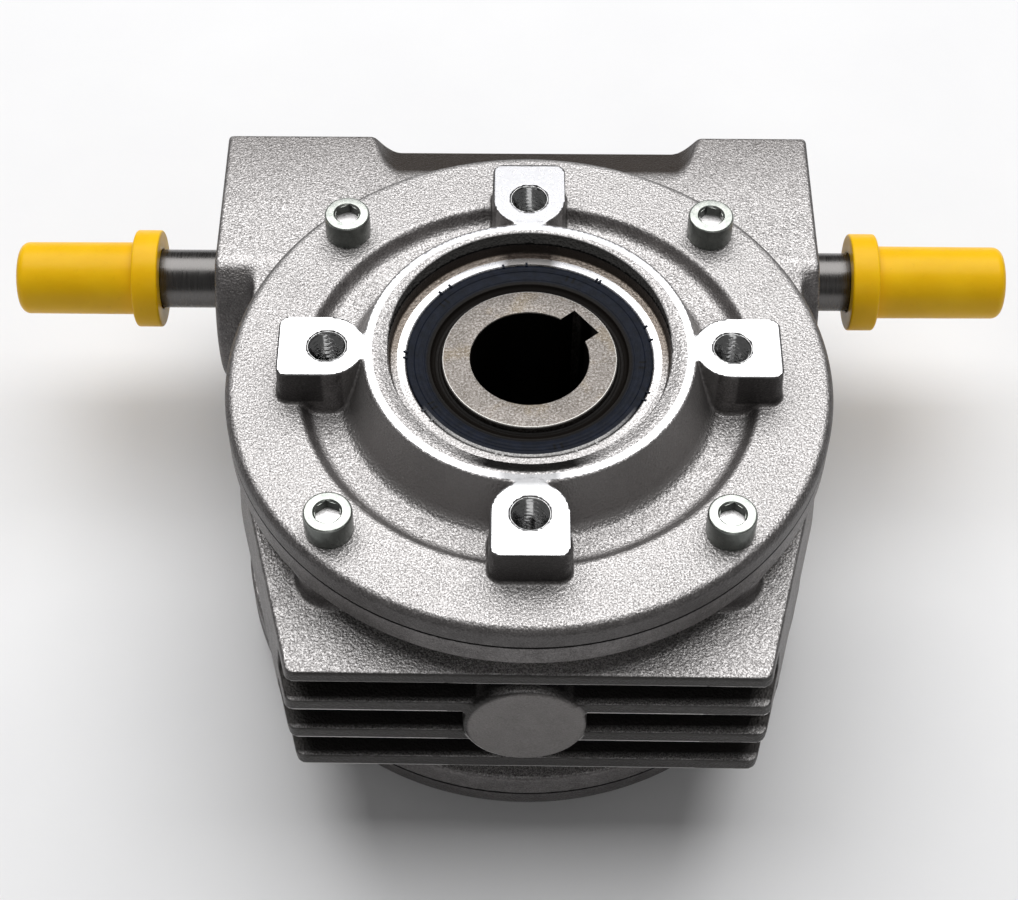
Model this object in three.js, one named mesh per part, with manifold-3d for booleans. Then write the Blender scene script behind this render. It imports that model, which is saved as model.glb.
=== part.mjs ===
// Hollow-output worm gearbox. Millimetres, +Z up.
// Shapes are made about the output axis with z = 0 on the gear mid-plane, then moved so that
// the base rests on z = 0 and the origin is the centre of the bounding box's bottom face.
import * as THREE from "three";
import { mergeVertices } from "three/addons/utils/BufferGeometryUtils.js";
import Module from "manifold-3d";

const wasm = await Module();
wasm.setup();

// Overall frame
const HALF_HEIGHT = 45.1; // mid-plane to the pad faces
const SHIFT_X = 3.8; // output axis from the box centre
const SHIFT_Y = -10.2;
const RUN_GAP = 0.2; // clearance between separate pieces

// Covers, one above and one below
const RIM_R = 64.7;
const JOINT_Z = 30.3; // cover to housing joint
const FLANGE_Z = 36; // outer face of the cover flange
const RECESS_Z = 33;
const RECESS_R = 48.8;
const RECESS_SLOPE = 1.8;
const BOSS_FOOT_R = 39.3;
const PILOT_R = 34.9;
const PILOT_CHAMFER = 0.4;
const RING_FLAT_R = 33.1; // the machined face's inner edge
const RING_IN_R = 31.6;
const RING_DISH = 0.3;
const LEDGE_R = 29.4;
const LEDGE_Z = 41.4;
const SEAL_POCKET_R = 25.6;
const SPIGOT_R = 49.6;
const SPIGOT_IN_R = 46;
const SPIGOT_Z = 24;
const COVER_UNDER_Z = 27;
const GROOVE_FLOOR_R = 47.8;
const GROOVE_LOW_Z = 26.9;
const GROOVE_HIGH_Z = 29.1;
const BOSS_UNDER_R = 38.6;
const COVER_EDGE = 2.2;
const COVER_SEGMENTS = 36;

// Mounting pads on each cover
const PAD_HALF_W = 8;
const PAD_OUT_R = 52.8;
const PAD_CORNER_R = 2.4;
const PAD_HOLE_PCR = 42.5;
const PAD_HOLE_R = 3.9;
const PAD_HOLE_BOTTOM_Z = 30.5;
const PAD_ROOT_Z = 31;
const PAD_COUNT = 4;

// Cover screws
const SCREW_OFFSET = 40.36;
const SCREW_HEAD_R = 5;
const SCREW_HEAD_H = 6.2;
const SCREW_SHANK_R = 2.9;
const SCREW_LENGTH = 16;
const SCREW_SOCKET_R = 2.89;
const SCREW_SOCKET_DEPTH = 3.2;
const SCREW_HOLE_R = 3.2;
const SCREW_HOLE_EXTRA = 1;

// Housing
const RIM_THICK = 6.2;
const NECK_R = 56;
const CAVITY_R = 50;
const LUG_R = 7.4;
const BLOCK_HALF_H = 18.7;
const BLOCK_FRONT_Y = -64.5;
const BLOCK_DRAFT = 0.022;
const BLOCK_OUTLINE = [
  [50.4, -64.5], [52, -57], [54.4, -46.5], [57.2, -36], [60.3, -26.5],
  [62.8, -16.5], [64.2, -7], [64.6, 2], [64.6, 30], [62, 48],
];
const FIN_THICK = 3.4;
const FIN_PITCH = 11.33;
const FIN_GAPS = 3;
const FIN_DEPTH = 9;
const BLANK_BOSS_R = 12.8;
const BLANK_BOSS_X = -0.7;
const BLANK_BOSS_PROUD = 0.4;

// Worm block
const WORM_Y = 58;
const WORM_BLOCK_R = 24;
const WORM_BLOCK_HALF_H = 20.5;
const WORM_BLOCK_BACK_Y = 84.5;
const SCOOP_FRONT_Y = 73.5; // the block slopes down from here between the feet
const SCOOP_BACK_Z = 15.9;
const WORM_LEFT_X = -72;
const WORM_RIGHT_X = 67;
const TUNNEL_R = 17.6;
const FOOT_BACK_Y = 85.3;
const FOOT_FRONT_Y = 60;
const FOOT_LEFT_IN_X = -36.7;
const FOOT_RIGHT_IN_X = 40.5;
const FOOT_CORNER_R = 3;

// Output hub
const BORE_R = 12.5;
const HUB_END_Z = 41.4;
const HUB_END_R = 18.45;
const HUB_SEAT_R = 20;
const HUB_SHOULDER_R = 23.4;
const HUB_WEB_R = 35.9;
const HUB_WEB_HALF_W = 8;
const HUB_CHAMFER = 0.9;
const HUB_SEGMENTS = 24;
const KEY_WIDTH = 8;
const KEY_TOP_R = 15.8;
const KEY_ANGLE_DEG = 39.5;

// Worm gear pair
const MODULE = 3;
const WHEEL_TEETH = 30;
const WHEEL_HALF_W = 12;
const WHEEL_BORE_R = 36.1;
const WHEEL_TOOTH_HALF = 2.1;
const WORM_TOOTH_HALF = 1.9;
const ADDENDUM = 3;
const DEDENDUM = 3.7;
const PRESSURE_TAN = Math.tan((20 * Math.PI) / 180);
const WHEEL_PITCH_R = (MODULE * WHEEL_TEETH) / 2;
const WORM_PITCH_R = WORM_Y - WHEEL_PITCH_R;
const LEAD_PER_RAD = MODULE / 2;
const WORM_TURNS = 4;
const WORM_STEPS_PER_TURN = 14;
const WORM_RUNOUT_TURNS = 0.4;

// Worm shaft
const SHAFT_R = 7;
const SHAFT_LEFT_X = -119;
const SHAFT_RIGHT_X = 111;
const SHAFT_CHAMFER = 0.8;
const WORM_CORE_R = 9.3;
const WORM_CORE_HALF_L = 40;
const WORM_SHOULDER_R = 10.6;
const WORM_SEAT_R = 8.5;
const SHAFT_KEY_WIDTH = 5;
const SHAFT_KEY_DEPTH = 3;
const SHAFT_KEY_LENGTH = 20;
const SHAFT_KEY_END_GAP = 3;
const SHAFT_SEGMENTS = 24;

// Bearings: bore radius, outer radius, width, ball radius
const OUTPUT_BEARING = { inner: 20, outer: 34, width: 15, ball: 3.7, balls: 9, segments: 24 };
const OUTPUT_BEARING_Z = 28;
const WORM_BEARING = { inner: 8.5, outer: 17.5, width: 10, ball: 2.3, balls: 7, segments: 18 };
const WORM_BEARING_LEFT_X = -59;
const WORM_BEARING_RIGHT_X = 54;
const RACE_LAND = 0.5; // ball edge beyond the land between the rings
const RACE_GAP = 0.4;

// Seals and sealing rings
const SEAL_WIDTH = 5;
const SEAL_LIP_R = 18.7;
const SEAL_FACE_DROP = 0.3;
const WORM_SEAL_WIDTH = 6;
const WORM_SEAL_LIP_R = 7.2;
const WORM_SEAL_CONE_R = 9.3;
const WORM_SEAL_CONE_OUT = 2.1;
const RING_CORD_R = 0.85;

// Shaft caps
const CAP_BODY_R = 8.65;
const CAP_COLLAR_R = 11.65;
const CAP_COLLAR_L = 6.2;
const CAP_BORE_R = 7.2;
const CAP_LEFT_MOUTH_X = -87.9;
const CAP_LEFT_END_X = -122.2;
const CAP_RIGHT_MOUTH_X = 77.4;
const CAP_RIGHT_END_X = 114.6;
const CAP_END_ROUND = 4;
const CAP_SEGMENTS = 20;

const HALF_TURN = Math.PI;
const FULL_TURN = 2 * Math.PI;
const OVERLAP = 1; // how far joined or cutting shapes run past each other

// ---- Solids -------------------------------------------------------------------------------

function withoutSlivers(index) {
  const kept = [];
  for (let i = 0; i < index.length; i += 3) {
    const [a, b, c] = [index[i], index[i + 1], index[i + 2]];
    if (a !== b && b !== c && c !== a) {
      kept.push(a, b, c);
    }
  }
  return new Uint32Array(kept);
}

function solid(geometry) {
  geometry.deleteAttribute("normal");
  geometry.deleteAttribute("uv");
  const merged = mergeVertices(geometry, 1e-4);
  const mesh = new wasm.Mesh({
    numProp: 3,
    vertProperties: new Float32Array(merged.attributes.position.array),
    triVerts: withoutSlivers(merged.index.array),
  });
  return new wasm.Manifold(mesh);
}

function geometryOf(manifold) {
  const mesh = manifold.getMesh();
  const geometry = new THREE.BufferGeometry();
  geometry.setAttribute("position", new THREE.BufferAttribute(new Float32Array(mesh.vertProperties), 3));
  geometry.setIndex(new THREE.BufferAttribute(new Uint32Array(mesh.triVerts), 1));
  return geometry;
}

function addAll(first, others) {
  return others.reduce((sum, other) => sum.add(other), first);
}

function cutAll(first, others) {
  return others.reduce((rest, other) => rest.subtract(other), first);
}

function signedArea(points) {
  const turned = points.map(([x, y], i) => {
    const [nextX, nextY] = points[(i + 1) % points.length];
    return x * nextY - nextX * y;
  });
  return turned.reduce((sum, value) => sum + value, 0) / 2;
}

function anticlockwise(points) {
  return signedArea(points) < 0 ? [...points].reverse() : points;
}

// Ring or disc about Z from (radius, z) corners. A disc's corners start and end on the axis.
function turned(corners, segments) {
  const ordered = anticlockwise(corners);
  const first = ordered.findIndex(([r], i) => r === 0 && ordered[(i + 1) % ordered.length][0] !== 0);
  const start = Math.max(first, 0);
  const loop = ordered.map((_, i) => ordered[(start + i) % ordered.length]);
  const closed = first < 0 ? [...loop, loop[0]] : loop;
  const geometry = new THREE.LatheGeometry(closed.map(([r, z]) => new THREE.Vector2(r, z)), segments);
  geometry.rotateX(HALF_TURN / 2);
  return geometry;
}

// The same about X, from (radius, x) corners.
function turnedAboutX(corners, segments) {
  const geometry = turned(corners, segments);
  geometry.rotateY(HALF_TURN / 2);
  return geometry;
}

function rod(radius, lowZ, highZ, segments) {
  const geometry = new THREE.CylinderGeometry(radius, radius, highZ - lowZ, segments);
  geometry.rotateX(HALF_TURN / 2);
  geometry.translate(0, 0, (lowZ + highZ) / 2);
  return geometry;
}

function box(lowX, highX, lowY, highY, lowZ, highZ) {
  const geometry = new THREE.BoxGeometry(highX - lowX, highY - lowY, highZ - lowZ);
  geometry.translate((lowX + highX) / 2, (lowY + highY) / 2, (lowZ + highZ) / 2);
  return geometry;
}

function slab(shape, lowZ, highZ, steps = 1, curveSegments = 6) {
  const geometry = new THREE.ExtrudeGeometry(shape, {
    depth: highZ - lowZ,
    steps,
    curveSegments,
    bevelEnabled: false,
  });
  geometry.translate(0, 0, lowZ);
  return geometry;
}

function roundedRectangle(lowX, highX, lowY, highY, radius) {
  const shape = new THREE.Shape();
  shape.moveTo(lowX, lowY);
  shape.lineTo(highX, lowY);
  shape.lineTo(highX, highY - radius);
  shape.absarc(highX - radius, highY - radius, radius, 0, HALF_TURN / 2, false);
  shape.lineTo(lowX + radius, highY);
  shape.absarc(lowX + radius, highY - radius, radius, HALF_TURN / 2, HALF_TURN, false);
  shape.closePath();
  return shape;
}

function reshaped(geometry, move) {
  const position = geometry.attributes.position;
  const point = new THREE.Vector3();
  for (let i = 0; i < position.count; i += 1) {
    point.fromBufferAttribute(position, i);
    move(point);
    position.setXYZ(i, point.x, point.y, point.z);
  }
  return geometry;
}

function flipped(geometry) {
  return geometry.clone().rotateX(HALF_TURN);
}

// ---- Covers -------------------------------------------------------------------------------

function coverProfile() {
  const pocketZ = OUTPUT_BEARING_Z + OUTPUT_BEARING.width / 2 + RUN_GAP;
  const bossZ = OUTPUT_BEARING_Z - OUTPUT_BEARING.width / 2;
  const pocketR = OUTPUT_BEARING.outer + RUN_GAP;
  return [
    [RIM_R, JOINT_Z],
    [RIM_R, FLANGE_Z - COVER_EDGE],
    [RIM_R - COVER_EDGE * 0.3, FLANGE_Z - COVER_EDGE * 0.3],
    [RIM_R - COVER_EDGE, FLANGE_Z],
    [RECESS_R, FLANGE_Z],
    [RECESS_R - RECESS_SLOPE, RECESS_Z],
    [BOSS_FOOT_R, RECESS_Z],
    [PILOT_R, HALF_HEIGHT - PILOT_CHAMFER],
    [PILOT_R - PILOT_CHAMFER, HALF_HEIGHT],
    [RING_FLAT_R, HALF_HEIGHT],
    [RING_IN_R, HALF_HEIGHT - RING_DISH],
    [LEDGE_R, LEDGE_Z],
    [SEAL_POCKET_R, LEDGE_Z],
    [SEAL_POCKET_R, pocketZ],
    [pocketR, pocketZ],
    [pocketR, bossZ],
    [BOSS_UNDER_R, bossZ],
    [BOSS_UNDER_R, COVER_UNDER_Z],
    [SPIGOT_IN_R, COVER_UNDER_Z],
    [SPIGOT_IN_R, SPIGOT_Z],
    [SPIGOT_R, SPIGOT_Z],
    [SPIGOT_R, GROOVE_LOW_Z],
    [GROOVE_FLOOR_R, GROOVE_LOW_Z],
    [GROOVE_FLOOR_R, GROOVE_HIGH_Z],
    [SPIGOT_R, GROOVE_HIGH_Z],
    [SPIGOT_R, JOINT_Z],
  ];
}

// A pad is square outside and half-round round its hole towards the ring.
function padShape() {
  const shape = new THREE.Shape();
  const cornerX = PAD_OUT_R - PAD_CORNER_R;
  const cornerY = PAD_HALF_W - PAD_CORNER_R;
  shape.moveTo(PAD_HOLE_PCR, -PAD_HALF_W);
  shape.absarc(cornerX, -cornerY, PAD_CORNER_R, -HALF_TURN / 2, 0, false);
  shape.absarc(cornerX, cornerY, PAD_CORNER_R, 0, HALF_TURN / 2, false);
  shape.absarc(PAD_HOLE_PCR, 0, PAD_HALF_W, HALF_TURN / 2, 1.5 * HALF_TURN, false);
  return shape;
}

function padBlank(turn) {
  return solid(slab(padShape(), PAD_ROOT_Z, HALF_HEIGHT).rotateZ(turn));
}

function padHole(turn) {
  const hole = rod(PAD_HOLE_R, PAD_HOLE_BOTTOM_Z, HALF_HEIGHT + OVERLAP, 16);
  return solid(hole.translate(PAD_HOLE_PCR, 0, 0).rotateZ(turn));
}

function screwSpots() {
  return [[1, 1], [-1, 1], [-1, -1], [1, -1]].map(([x, y]) => [x * SCREW_OFFSET, y * SCREW_OFFSET]);
}

function coverSolid() {
  const turns = Array.from({ length: PAD_COUNT }, (_, i) => (i * FULL_TURN) / PAD_COUNT);
  const plate = addAll(solid(turned(coverProfile(), COVER_SEGMENTS)), turns.map(padBlank));
  const screwHoles = screwSpots().map(([x, y]) =>
    solid(rod(SCREW_HOLE_R, JOINT_Z - OVERLAP, FLANGE_Z + OVERLAP, 12).translate(x, y, 0)));
  return cutAll(plate, [...turns.map(padHole), ...screwHoles]);
}

function screwSolid() {
  const headZ = FLANGE_Z + SCREW_HEAD_H;
  const corners = [
    [0, FLANGE_Z - SCREW_LENGTH],
    [SCREW_SHANK_R, FLANGE_Z - SCREW_LENGTH],
    [SCREW_SHANK_R, FLANGE_Z + RUN_GAP / 4],
    [SCREW_HEAD_R, FLANGE_Z + RUN_GAP / 4],
    [SCREW_HEAD_R, headZ - 0.6],
    [SCREW_HEAD_R - 0.6, headZ],
    [0, headZ],
  ];
  const socket = rod(SCREW_SOCKET_R, headZ - SCREW_SOCKET_DEPTH, headZ + OVERLAP, 6);
  return solid(turned(corners, 12)).subtract(solid(socket));
}

function sealingRing() {
  const middleR = SPIGOT_R - RING_CORD_R + 0.1;
  const middleZ = (GROOVE_LOW_Z + GROOVE_HIGH_Z) / 2;
  const corners = [
    [middleR + RING_CORD_R, middleZ],
    [middleR, middleZ + RING_CORD_R],
    [middleR - RING_CORD_R, middleZ],
    [middleR, middleZ - RING_CORD_R],
  ];
  return solid(turned(corners, COVER_SEGMENTS));
}

function outputSeal() {
  const topZ = LEDGE_Z - SEAL_FACE_DROP;
  const lowZ = topZ - SEAL_WIDTH;
  const outR = SEAL_POCKET_R - RUN_GAP;
  const corners = [
    [outR, lowZ],
    [outR, topZ],
    [SEAL_LIP_R + 4.4, topZ],
    [SEAL_LIP_R + 3.6, topZ - 0.9],
    [SEAL_LIP_R, topZ - 0.4],
    [SEAL_LIP_R, lowZ],
  ];
  return solid(turned(corners, HUB_SEGMENTS));
}

// ---- Bearings, about Z and centred on z = 0 ----------------------------------------------

function bearingPitchR(size) {
  return (size.inner + size.outer) / 2;
}

function outerRing(size) {
  const half = size.width / 2;
  const raceR = bearingPitchR(size) + size.ball + RACE_GAP;
  const landR = raceR - RACE_LAND - RACE_GAP;
  const outR = size.outer - RUN_GAP / 2;
  return turned([
    [outR, -half], [outR, half], [landR, half], [landR, size.ball * 0.8],
    [raceR, 0], [landR, -size.ball * 0.8], [landR, -half],
  ], size.segments);
}

function innerRing(size) {
  const half = size.width / 2;
  const raceR = bearingPitchR(size) - size.ball - RACE_GAP;
  const landR = raceR + RACE_LAND + RACE_GAP;
  return turned([
    [size.inner + RUN_GAP, -half], [landR, -half], [landR, -size.ball * 0.8], [raceR, 0],
    [landR, size.ball * 0.8], [landR, half], [size.inner + RUN_GAP, half],
  ], size.segments);
}

function ballSet(size) {
  const pitchR = bearingPitchR(size);
  const wall = size.ball * 0.22;
  const half = size.ball * 0.75;
  const cage = turned([
    [pitchR - wall, -half], [pitchR + wall, -half], [pitchR + wall, half], [pitchR - wall, half],
  ], size.segments);
  const balls = Array.from({ length: size.balls }, (_, i) => {
    const ball = new THREE.SphereGeometry(size.ball, 6, 4);
    return solid(ball.translate(pitchR, 0, 0).rotateZ((i * FULL_TURN) / size.balls));
  });
  return geometryOf(addAll(solid(cage), balls));
}

// ---- Output hub and worm wheel -----------------------------------------------------------

function hubCorners() {
  const upper = [
    [HUB_WEB_R, HUB_WEB_HALF_W],
    [HUB_SHOULDER_R, HUB_WEB_HALF_W],
    [HUB_SHOULDER_R, OUTPUT_BEARING_Z - OUTPUT_BEARING.width / 2 - RUN_GAP],
    [HUB_SEAT_R, OUTPUT_BEARING_Z - OUTPUT_BEARING.width / 2 - RUN_GAP],
    [HUB_SEAT_R, OUTPUT_BEARING_Z + OUTPUT_BEARING.width / 2],
    [HUB_END_R, OUTPUT_BEARING_Z + OUTPUT_BEARING.width / 2 + RUN_GAP],
    [HUB_END_R, HUB_END_Z - HUB_CHAMFER],
    [HUB_END_R - HUB_CHAMFER, HUB_END_Z],
    [BORE_R, HUB_END_Z],
  ];
  const lower = [...upper].reverse().map(([r, z]) => [r, -z]);
  return [...lower, ...upper];
}

function hubSolid() {
  const end = HUB_END_Z + OVERLAP;
  const slot = box(0, KEY_TOP_R, -KEY_WIDTH / 2, KEY_WIDTH / 2, -end, end);
  const turn = (KEY_ANGLE_DEG * HALF_TURN) / 180;
  return solid(turned(hubCorners(), HUB_SEGMENTS)).subtract(solid(slot.rotateZ(turn)));
}

function toothPoint(radius, halfWidth, turn) {
  const angle = turn + halfWidth / radius;
  return new THREE.Vector2(radius * Math.cos(angle), radius * Math.sin(angle));
}

function wheelOutline() {
  const rootR = WHEEL_PITCH_R - DEDENDUM;
  const tipR = WHEEL_PITCH_R + ADDENDUM;
  const rootHalf = WHEEL_TOOTH_HALF + DEDENDUM * PRESSURE_TAN;
  const tipHalf = WHEEL_TOOTH_HALF - ADDENDUM * PRESSURE_TAN;
  const points = [];
  for (let i = 0; i < WHEEL_TEETH; i += 1) {
    const turn = (i * FULL_TURN) / WHEEL_TEETH;
    points.push(toothPoint(rootR, -rootHalf, turn), toothPoint(tipR, -tipHalf, turn));
    points.push(toothPoint(tipR, tipHalf, turn), toothPoint(rootR, rootHalf, turn));
  }
  return points;
}

function wheelRim() {
  const shape = new THREE.Shape(wheelOutline());
  const twist = LEAD_PER_RAD / WORM_PITCH_R / WHEEL_PITCH_R;
  const blank = slab(shape, -WHEEL_HALF_W, WHEEL_HALF_W, 2);
  const twisted = reshaped(blank, (point) => {
    point.applyAxisAngle(new THREE.Vector3(0, 0, 1), point.z * twist);
  });
  const bore = rod(WHEEL_BORE_R, -WHEEL_HALF_W - OVERLAP, WHEEL_HALF_W + OVERLAP, HUB_SEGMENTS);
  return solid(twisted).subtract(solid(bore));
}

// ---- Worm shaft, about X -----------------------------------------------------------------

function threadSection() {
  const rootR = WORM_CORE_R - OVERLAP;
  const tipR = WORM_PITCH_R + ADDENDUM;
  const rootHalf = WORM_TOOTH_HALF + (WORM_PITCH_R - rootR) * PRESSURE_TAN;
  const tipHalf = WORM_TOOTH_HALF - ADDENDUM * PRESSURE_TAN;
  return new THREE.Shape([
    new THREE.Vector2(-rootHalf, rootR),
    new THREE.Vector2(rootHalf, rootR),
    new THREE.Vector2(tipHalf, tipR),
    new THREE.Vector2(-tipHalf, tipR),
  ]);
}

// The straight section is wound round X: its x runs along the shaft and its y is the radius.
function woundThread() {
  const halfTurns = WORM_TURNS / 2;
  const straight = slab(threadSection(), -halfTurns, halfTurns, WORM_TURNS * WORM_STEPS_PER_TURN);
  const rootR = WORM_CORE_R - OVERLAP;
  return reshaped(straight, (point) => {
    const endTurns = halfTurns - Math.abs(point.z);
    const height = Math.min(1, 0.25 + endTurns / WORM_RUNOUT_TURNS);
    const radius = rootR + (point.y - rootR) * height;
    const wound = point.z * FULL_TURN;
    const angle = wound + HALF_TURN;
    point.set(point.x + LEAD_PER_RAD * wound, radius * Math.cos(angle), radius * Math.sin(angle));
  });
}

function shaftCorners() {
  const leftSeat = WORM_BEARING_LEFT_X + WORM_BEARING.width / 2 + RUN_GAP;
  const rightSeat = WORM_BEARING_RIGHT_X - WORM_BEARING.width / 2 - RUN_GAP;
  const leftStep = WORM_BEARING_LEFT_X - WORM_BEARING.width / 2;
  const rightStep = WORM_BEARING_RIGHT_X + WORM_BEARING.width / 2;
  return [
    [0, SHAFT_LEFT_X],
    [SHAFT_R - SHAFT_CHAMFER, SHAFT_LEFT_X],
    [SHAFT_R, SHAFT_LEFT_X + SHAFT_CHAMFER],
    [SHAFT_R, leftStep],
    [WORM_SEAT_R, leftStep],
    [WORM_SEAT_R, leftSeat],
    [WORM_SHOULDER_R, leftSeat],
    [WORM_SHOULDER_R, -WORM_CORE_HALF_L],
    [WORM_CORE_R, -WORM_CORE_HALF_L + 2],
    [WORM_CORE_R, WORM_CORE_HALF_L - 2],
    [WORM_SHOULDER_R, WORM_CORE_HALF_L],
    [WORM_SHOULDER_R, rightSeat],
    [WORM_SEAT_R, rightSeat],
    [WORM_SEAT_R, rightStep],
    [SHAFT_R, rightStep],
    [SHAFT_R, SHAFT_RIGHT_X - SHAFT_CHAMFER],
    [SHAFT_R - SHAFT_CHAMFER, SHAFT_RIGHT_X],
    [0, SHAFT_RIGHT_X],
  ];
}

function shaftKeySlot(lowX, highX) {
  const half = SHAFT_KEY_WIDTH / 2;
  return solid(box(lowX, highX, -half, half, SHAFT_R - SHAFT_KEY_DEPTH, SHAFT_R + OVERLAP));
}

function wormShaft() {
  const shaft = solid(turnedAboutX(shaftCorners(), SHAFT_SEGMENTS)).add(solid(woundThread()));
  const left = SHAFT_LEFT_X + SHAFT_KEY_END_GAP;
  const right = SHAFT_RIGHT_X - SHAFT_KEY_END_GAP;
  return cutAll(shaft, [
    shaftKeySlot(left, left + SHAFT_KEY_LENGTH),
    shaftKeySlot(right - SHAFT_KEY_LENGTH, right),
  ]);
}

function wormSeal(innerX, outerX, coneOut) {
  const outward = Math.sign(outerX - innerX);
  const outR = TUNNEL_R - RUN_GAP;
  return turnedAboutX([
    [outR, innerX],
    [outR, outerX],
    [WORM_SEAL_CONE_R, outerX],
    [WORM_SEAL_LIP_R + 0.6, outerX + outward * coneOut],
    [WORM_SEAL_LIP_R, outerX + outward * coneOut],
    [WORM_SEAL_LIP_R, innerX],
  ], SHAFT_SEGMENTS);
}

function shaftCap(mouthX, endX) {
  const outward = Math.sign(endX - mouthX);
  const collarX = mouthX + outward * CAP_COLLAR_L;
  const floorX = endX - outward * 1.6;
  const round = CAP_END_ROUND;
  return turnedAboutX([
    [CAP_BORE_R, mouthX],
    [CAP_COLLAR_R, mouthX],
    [CAP_COLLAR_R, collarX],
    [CAP_BODY_R, collarX],
    [CAP_BODY_R, endX - outward * round],
    [CAP_BODY_R - round * 0.3, endX - outward * round * 0.3],
    [CAP_BODY_R - round, endX],
    [0, endX],
    [0, floorX],
    [CAP_BORE_R - round * 0.5, floorX],
    [CAP_BORE_R, endX - outward * round],
  ], CAP_SEGMENTS);
}

// ---- Housing -----------------------------------------------------------------------------

function blockSolid() {
  const left = [...BLOCK_OUTLINE].reverse().map(([x, y]) => new THREE.Vector2(-x, y));
  const right = BLOCK_OUTLINE.map(([x, y]) => new THREE.Vector2(x, y));
  const blank = slab(new THREE.Shape([...left, ...right]), -BLOCK_HALF_H, BLOCK_HALF_H, 2);
  return solid(reshaped(blank, (point) => {
    point.x *= 1 - (BLOCK_DRAFT * Math.abs(point.z)) / BLOCK_HALF_H;
  }));
}

function finGap(number) {
  const middle = (number - (FIN_GAPS - 1) / 2) * FIN_PITCH;
  const half = (FIN_PITCH - FIN_THICK) / 2;
  const front = BLOCK_FRONT_Y - OVERLAP;
  return solid(box(-RIM_R, RIM_R, front, BLOCK_FRONT_Y + FIN_DEPTH, middle - half, middle + half));
}

function blankBoss() {
  const outY = BLOCK_FRONT_Y - BLANK_BOSS_PROUD;
  const length = FIN_DEPTH + BLANK_BOSS_PROUD + OVERLAP;
  const boss = new THREE.CylinderGeometry(BLANK_BOSS_R, BLANK_BOSS_R, length, 32);
  return solid(boss.translate(BLANK_BOSS_X, outY + length / 2, 0));
}

function wormBlock() {
  const edge = Math.asin(WORM_BLOCK_HALF_H / WORM_BLOCK_R);
  const shape = new THREE.Shape();
  shape.absarc(WORM_Y, 0, WORM_BLOCK_R, HALF_TURN - edge, HALF_TURN + edge, false);
  shape.lineTo(SCOOP_FRONT_Y, -WORM_BLOCK_HALF_H);
  shape.lineTo(WORM_BLOCK_BACK_Y, -SCOOP_BACK_Z);
  shape.lineTo(WORM_BLOCK_BACK_Y, SCOOP_BACK_Z);
  shape.lineTo(SCOOP_FRONT_Y, WORM_BLOCK_HALF_H);
  shape.closePath();
  const block = slab(shape, WORM_LEFT_X, WORM_RIGHT_X, 1, 10);
  const toAlongX = new THREE.Matrix4().makeBasis(
    new THREE.Vector3(0, 1, 0),
    new THREE.Vector3(0, 0, 1),
    new THREE.Vector3(1, 0, 0),
  );
  return solid(block.applyMatrix4(toAlongX));
}

function foot(lowX, highX) {
  const shape = roundedRectangle(lowX, highX, FOOT_FRONT_Y, FOOT_BACK_Y, FOOT_CORNER_R);
  return solid(slab(shape, -WORM_BLOCK_HALF_H, WORM_BLOCK_HALF_H, 1, 3));
}

function rimDisc(side) {
  const low = JOINT_Z - RIM_THICK;
  const disc = rod(RIM_R, low, JOINT_Z, COVER_SEGMENTS);
  return solid(side > 0 ? disc : flipped(disc));
}

function screwLug([x, y], side) {
  const low = BLOCK_HALF_H - OVERLAP;
  const lug = rod(LUG_R, low, JOINT_Z - RIM_THICK + OVERLAP, 16).translate(x, y, 0);
  return solid(side > 0 ? lug : flipped(lug));
}

function screwHole([x, y], side) {
  const low = FLANGE_Z - SCREW_LENGTH - SCREW_HOLE_EXTRA;
  const hole = rod(SCREW_HOLE_R, low, JOINT_Z + OVERLAP, 12).translate(x, y, 0);
  return solid(side > 0 ? hole : flipped(hole));
}

function housingSolid() {
  const gaps = Array.from({ length: FIN_GAPS }, (_, i) => finGap(i));
  const block = cutAll(blockSolid(), gaps).add(blankBoss());
  const neckZ = JOINT_Z - RIM_THICK + OVERLAP;
  const neck = solid(rod(NECK_R, -neckZ, neckZ, COVER_SEGMENTS));
  const spots = screwSpots();
  const outside = addAll(block, [
    neck,
    rimDisc(1),
    rimDisc(-1),
    wormBlock(),
    foot(WORM_LEFT_X, FOOT_LEFT_IN_X),
    foot(FOOT_RIGHT_IN_X, WORM_RIGHT_X),
    ...spots.map((spot) => screwLug(spot, 1)),
    ...spots.map((spot) => screwLug(spot, -1)),
  ]);
  const openZ = JOINT_Z + OVERLAP;
  const cavity = solid(rod(CAVITY_R, -openZ, openZ, COVER_SEGMENTS));
  const tunnel = new THREE.CylinderGeometry(TUNNEL_R, TUNNEL_R, 2 * FULL_TURN * WORM_BLOCK_R, SHAFT_SEGMENTS);
  tunnel.rotateZ(HALF_TURN / 2).translate(0, WORM_Y, 0);
  return cutAll(outside, [
    cavity,
    solid(tunnel),
    ...spots.map((spot) => screwHole(spot, 1)),
    ...spots.map((spot) => screwHole(spot, -1)),
  ]);
}

// ---- Assembly ----------------------------------------------------------------------------

const group = new THREE.Group();
group.name = "worm_gearbox";

const COLOURS = {
  cast: 0xc9c8c2,
  zinc: 0xa9aca0,
  steel: 0xb4b2ab,
  hub: 0x9c9486,
  bronze: 0xb88a4a,
  seal: 0x1a2236,
  rubber: 0x1c1c1e,
  cage: 0x8f9296,
  cap: 0xf0c020,
};

function place(name, geometry, colour) {
  const placed = geometry.clone();
  placed.translate(SHIFT_X, SHIFT_Y, HALF_HEIGHT);
  const mesh = new THREE.Mesh(placed, new THREE.MeshStandardMaterial({ color: COLOURS[colour] }));
  mesh.name = name;
  group.add(mesh);
}

function placeBoth(name, geometry, colour) {
  place(`upper_${name}`, geometry, colour);
  place(`lower_${name}`, flipped(geometry), colour);
}

function placeBearing(name, size, colourOfRings, toSpot) {
  place(`${name}_outer_ring`, toSpot(outerRing(size)), colourOfRings);
  place(`${name}_inner_ring`, toSpot(innerRing(size)), colourOfRings);
  place(`${name}_ball_set`, toSpot(ballSet(size)), "cage");
}

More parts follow.
